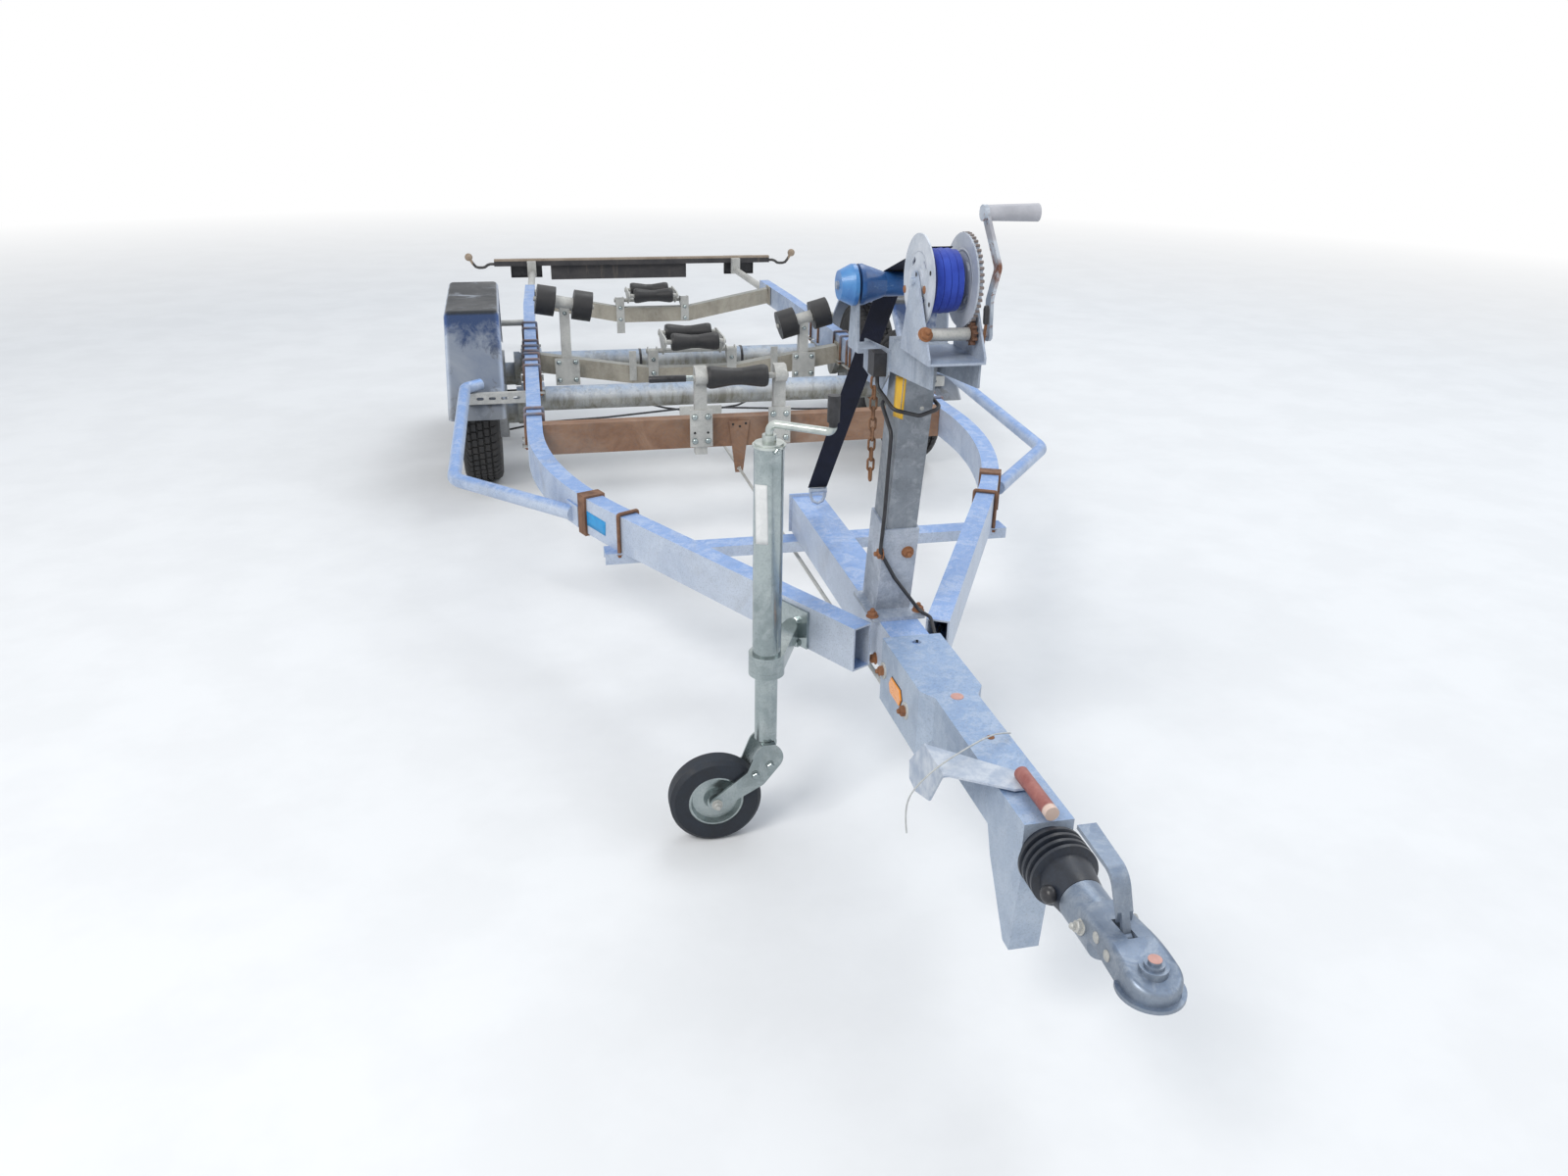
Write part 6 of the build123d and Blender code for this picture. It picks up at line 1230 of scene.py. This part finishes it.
# Each field's middle, its width and its material
LAMP_FIELDS = ((-59, 52, "red lens"), (-3, 52, "amber lens"), (56, 58, "clear lens"))
LAMP_RIBS = 6
LAMP_RIB_FIRST, LAMP_RIB_PITCH = 14, 15.8
MARKER_DISTANCE = 6206
MARKER_RADIUS = 8
MARKER_BALL = 22
BALL_RINGS = 16
MARKER_REACH = 959
MARKER_HEIGHT = 528
MARKER_PATH = (
    (818.2, 487), (840, 487), (856, 482), (870, 471), (884, 468), (905, 468), (922, 473), (938, 492),
    (MARKER_REACH, MARKER_HEIGHT),
)
BALL_ANGLES = [math.pi * k / BALL_RINGS for k in range(1, BALL_RINGS)]
BALL_PROFILE = [
    (0, -MARKER_BALL),
    *((MARKER_BALL * math.sin(angle), -MARKER_BALL * math.cos(angle)) for angle in BALL_ANGLES),
    (0, MARKER_BALL),
]
REARWARD = ((-1, 0, 0), (0, 0, 1))
lamps = Piece("lamps_and_arms", "chassis", "black plastic")
for sign in (-1, 1):
    centre_x = sign * (LAMP_INNER + LAMP_OUTER) / 2000
    lamps.plate(
        (centre_x, behind(LAMP_FOOT), (LAMP_BOTTOM + LAMP_TOP) / 2000), *REARWARD,
        rectangle(LAMP_OUTER - LAMP_INNER, LAMP_TOP - LAMP_BOTTOM), LAMP_RIM - LAMP_FOOT, edge=LAMP_EDGE,
    )
    for middle_x, width, material in LAMP_FIELDS:
        for rib in range(LAMP_RIBS):
            height = LAMP_BOTTOM + LAMP_RIB_FIRST + rib * LAMP_RIB_PITCH
            lamps.plate(
                (centre_x - sign * middle_x / 1000, behind(LAMP_RIM), height / 1000), *REARWARD,
                rectangle(width, LAMP_RIB_PITCH), LAMP_FACE - LAMP_RIM, material, FIELD_EDGE,
            )
    arm = [Vector((sign * x / 1000, behind(MARKER_DISTANCE), z / 1000)) for x, z in MARKER_PATH]
    lamps.tube(arm, MARKER_RADIUS / 1000, 16, "marker arms")
    lamps.lathe(arm[-1], (0, 0, 1), BALL_PROFILE, 32, "marker arms")
lamps_piece = lamps.done()
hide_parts("lamps_and_reflectors")

# Strap from the coil over the blue roller and down to its eye, in millimetres but for its middle
STRAP_SHEET = 2.5
STRAP_GAP = 0.3
STRAP_MIDDLE = -0.0085
COIL_RADIUS = 57
WAIST_RADIUS = 24
EYE_RADIUS = 8
EYE_WIDTH = 46
DRUM_CENTRE = (behind(950) * 1000, 1215)
BOW_CENTRE = (behind(1195) * 1000, 1170)
EYE_CENTRE = (behind(1754) * 1000, 552)
# Pieces of the strap from the coil to the roller, over it, and down from it
STRAP_PARTS = (12, 12, 60)
# Columns across the strap, each with the share of the thickness that it has there
STRAP_COLUMNS = (
    (-25, 0.55), (-24, 1.0), (-22, 1.0), (-12, 0.86), (0, 0.86), (12, 0.86), (22, 1.0), (24, 1.0),
    (25, 0.55),
)


def upper_tangent(start, start_radius, end, end_radius):
    """Points where the upper common tangent touches two circles, front to back."""
    run = math.hypot(end[0] - start[0], end[1] - start[1])
    rise = math.atan2(end[1] - start[1], end[0] - start[0])
    tilt = rise + math.acos((start_radius - end_radius) / run)
    touch = (math.cos(tilt), math.sin(tilt))
    return (
        (start[0] + start_radius * touch[0], start[1] + start_radius * touch[1]),
        (end[0] + end_radius * touch[0], end[1] + end_radius * touch[1]),
    )


strap_off = STRAP_GAP + STRAP_SHEET / 2
waist = WAIST_RADIUS + strap_off
leave_coil, meet_waist = upper_tangent(DRUM_CENTRE, COIL_RADIUS + strap_off, BOW_CENTRE, waist)
leave_waist, meet_eye = upper_tangent(BOW_CENTRE, waist, EYE_CENTRE, EYE_RADIUS + STRAP_SHEET / 2)
arc_from, arc_to = (
    math.atan2(z - BOW_CENTRE[1], y - BOW_CENTRE[0]) for y, z in (meet_waist, leave_waist)
)
to_waist, over_waist, to_eye = STRAP_PARTS
strap_line = [part_way(leave_coil, meet_waist, k / to_waist) for k in range(to_waist)]
for k in range(over_waist):
    angle = arc_from + (arc_to - arc_from) * k / over_waist
    strap_line.append((BOW_CENTRE[0] + waist * math.cos(angle), BOW_CENTRE[1] + waist * math.sin(angle)))
strap_line += [part_way(leave_waist, meet_eye, k / to_eye) for k in range(to_eye + 1)]
strap_length = sum(math.dist(a, b) for a, b in zip(strap_line, strap_line[1:])) / 1000
strap = Piece("hauling_strap", "chassis", "hanging webbing")
strap_vertices = []
for i, (y, z) in enumerate(strap_line):
    after = strap_line[min(i + 1, len(strap_line) - 1)]
    before = strap_line[max(i - 1, 0)]
    run = Vector((after[0] - before[0], after[1] - before[1])).normalized()
    for side, columns in ((1, STRAP_COLUMNS), (-1, reversed(STRAP_COLUMNS))):
        for column, share in columns:
            lift = side * STRAP_SHEET / 2 * share
            strap_vertices.append(
                (STRAP_MIDDLE + column / 1000, (y - run.y * lift) / 1000, (z + run.x * lift) / 1000)
            )
strap.add(strap_vertices, skin(len(strap_line), 2 * len(STRAP_COLUMNS)))
strap_piece = strap.done()
strap_piece.modifiers.new("soft edges", "WEIGHTED_NORMAL")
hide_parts("winch_strap")

# The eye at the strap's end: a bent wire and the grooved pin that the strap goes round
SHACKLE_WIRE = 0.004
SHACKLE_BOW = ((-19, 0), (-19, -16), (-13, -30), (0, -36), (13, -30), (19, -16), (19, 0))
EYE_GROOVE = 1.5
EYE_HALF_PROFILE = [(0, 0), (EYE_RADIUS, 0.6), (EYE_RADIUS, 5), (EYE_RADIUS - EYE_GROOVE, 6)]
eye_y, eye_z = EYE_CENTRE[0] / 1000, EYE_CENTRE[1]
eye = Piece("strap_eye_pin", "chassis", "winch zinc")
eye.tube(
    [(STRAP_MIDDLE + x / 1000, eye_y, (eye_z + z) / 1000) for x, z in SHACKLE_BOW], SHACKLE_WIRE, 12
)
eye.lathe(
    (STRAP_MIDDLE - EYE_WIDTH / 2000, eye_y, eye_z / 1000), (1, 0, 0),
    EYE_HALF_PROFILE + [(radius, EYE_WIDTH - x) for radius, x in reversed(EYE_HALF_PROFILE)],
)
eye.done()

# Pale wire of the breakaway brake, from the lever's plate over the housing and down its side: its
# pixels in the photograph, across and down, each with the X in metres where it passes
WIRE_DIAMETER = 0.003
WIRE_PIXELS = (
    (1031.0, 748.0, 0.040), (1019.0, 748.0, 0.008), (1005.0, 753.0, -0.027), (984.0, 765.0, -0.077),
    (960.0, 780.0, -0.127), (940.0, 797.0, -0.151), (927.0, 813.0, -0.156), (923.3, 832.0, -0.152),
    (925.0, 850.0, -0.149),
)
wire_curve = bpy.data.curves.new("breakaway_wire", "CURVE")
wire_curve.dimensions = "3D"
wire_curve.bevel_depth = WIRE_DIAMETER / 2
wire_curve.bevel_resolution = 3
wire_points = [on_plane(u, v, x) for u, v, x in WIRE_PIXELS]
wire_spline = wire_curve.splines.new("NURBS")
wire_spline.points.add(len(wire_points) - 1)
for point, place in zip(wire_spline.points, wire_points):
    point.co = (*place, 1.0)
wire_spline.order_u = 3
wire_spline.use_endpoint_u = True
wire_spline.resolution_u = 8
wire_curve.materials.append(M["pale wire"])
wire = bpy.data.objects.new("breakaway_wire", wire_curve)
scene.collection.objects.link(wire)
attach(wire, "chassis")
tuple(wire_points[0])

# Stage and light: a pale floor that turns into the white background with distance

FLOOR_HALF = 60
FLOOR_DROP = 0.0005
FADE_FROM = 5.0
FADE_TO = 11.0
floor_mesh = bpy.data.meshes.new("studio floor")
floor_corners = [(x, y, 0) for x, y in rectangle(2 * FLOOR_HALF, 2 * FLOOR_HALF)]
floor_mesh.from_pydata(floor_corners, [], [(0, 1, 2, 3)])
floor = bpy.data.objects.new("studio floor", floor_mesh)
floor.location.z = -FLOOR_DROP
scene.collection.objects.link(floor)
fs = Shader("studio floor")
fs.finish(fs.tint(fs.noise(3.0, 4.0), 0.4, 0.6, (0.80, 0.80, 0.80), (0.83, 0.83, 0.83)), 0.85)
floor_mesh.materials.append(fs.material)
away = fs.node("ShaderNodeVectorMath", {0: fs.coords}, operation="LENGTH").outputs["Value"]
floor_white = fs.node("ShaderNodeEmission").outputs[0]
faded = fs.times(fs.between(away, FADE_FROM, FADE_TO), fs.shown())
floor_mix = fs.node("ShaderNodeMixShader", {0: faded, 1: fs.bsdf.outputs[0], 2: floor_white})
fs.put(fs.out, 0, floor_mix.outputs[0])

# Colour and strength of the light from all round, and of the background that is seen
SKY_LIGHT = ((0.86, 0.92, 1.0, 1.0), 0.62)
WHITE = ((1.0, 1.0, 1.0, 1.0), 1.0)
scene.world = scene.world or bpy.data.worlds.new("World")
scene.world.use_nodes = True
ws = Tree(scene.world.node_tree)
sky_light, white = (
    ws.node("ShaderNodeBackground", {0: colour, 1: strength}).outputs[0]
    for colour, strength in (SKY_LIGHT, WHITE)
)
world_mix = ws.node("ShaderNodeMixShader", {0: ws.shown(), 1: sky_light, 2: white})
ws.node("ShaderNodeOutputWorld", {0: world_mix.outputs[0]})

# Soft lights: place, the point they face, size, power and colour
LIGHTS = {
    "key": ((-5.0, -6.0, 7.0), (0, -0.5, 0.4), 3.5, 430, (1.0, 0.98, 0.95)),
    "fill": ((6.0, -3.0, 6.0), (0, 0.0, 0.4), 5.0, 130, (0.9, 0.95, 1.0)),
    "top": ((3.0, 3.5, 9.0), (0, 1.0, 0.4), 5.0, 260, (0.95, 0.98, 1.0)),
}
for name, (place, target, size, power, colour) in LIGHTS.items():
    data = bpy.data.lights.new(name, "AREA")
    data.shape = "SQUARE"
    data.size = size
    data.energy = power
    data.color = colour
    o = bpy.data.objects.new(name, data)
    o.location = place
    o.rotation_euler = (Vector(target) - Vector(place)).to_track_quat("-Z", "Y").to_euler()
    scene.collection.objects.link(o)

for piece in fastener_pieces.values():
    piece.done()

scene.render.resolution_x = PHOTO_WIDTH
scene.render.resolution_y = PHOTO_HEIGHT
scene.view_settings.view_transform = "Standard"
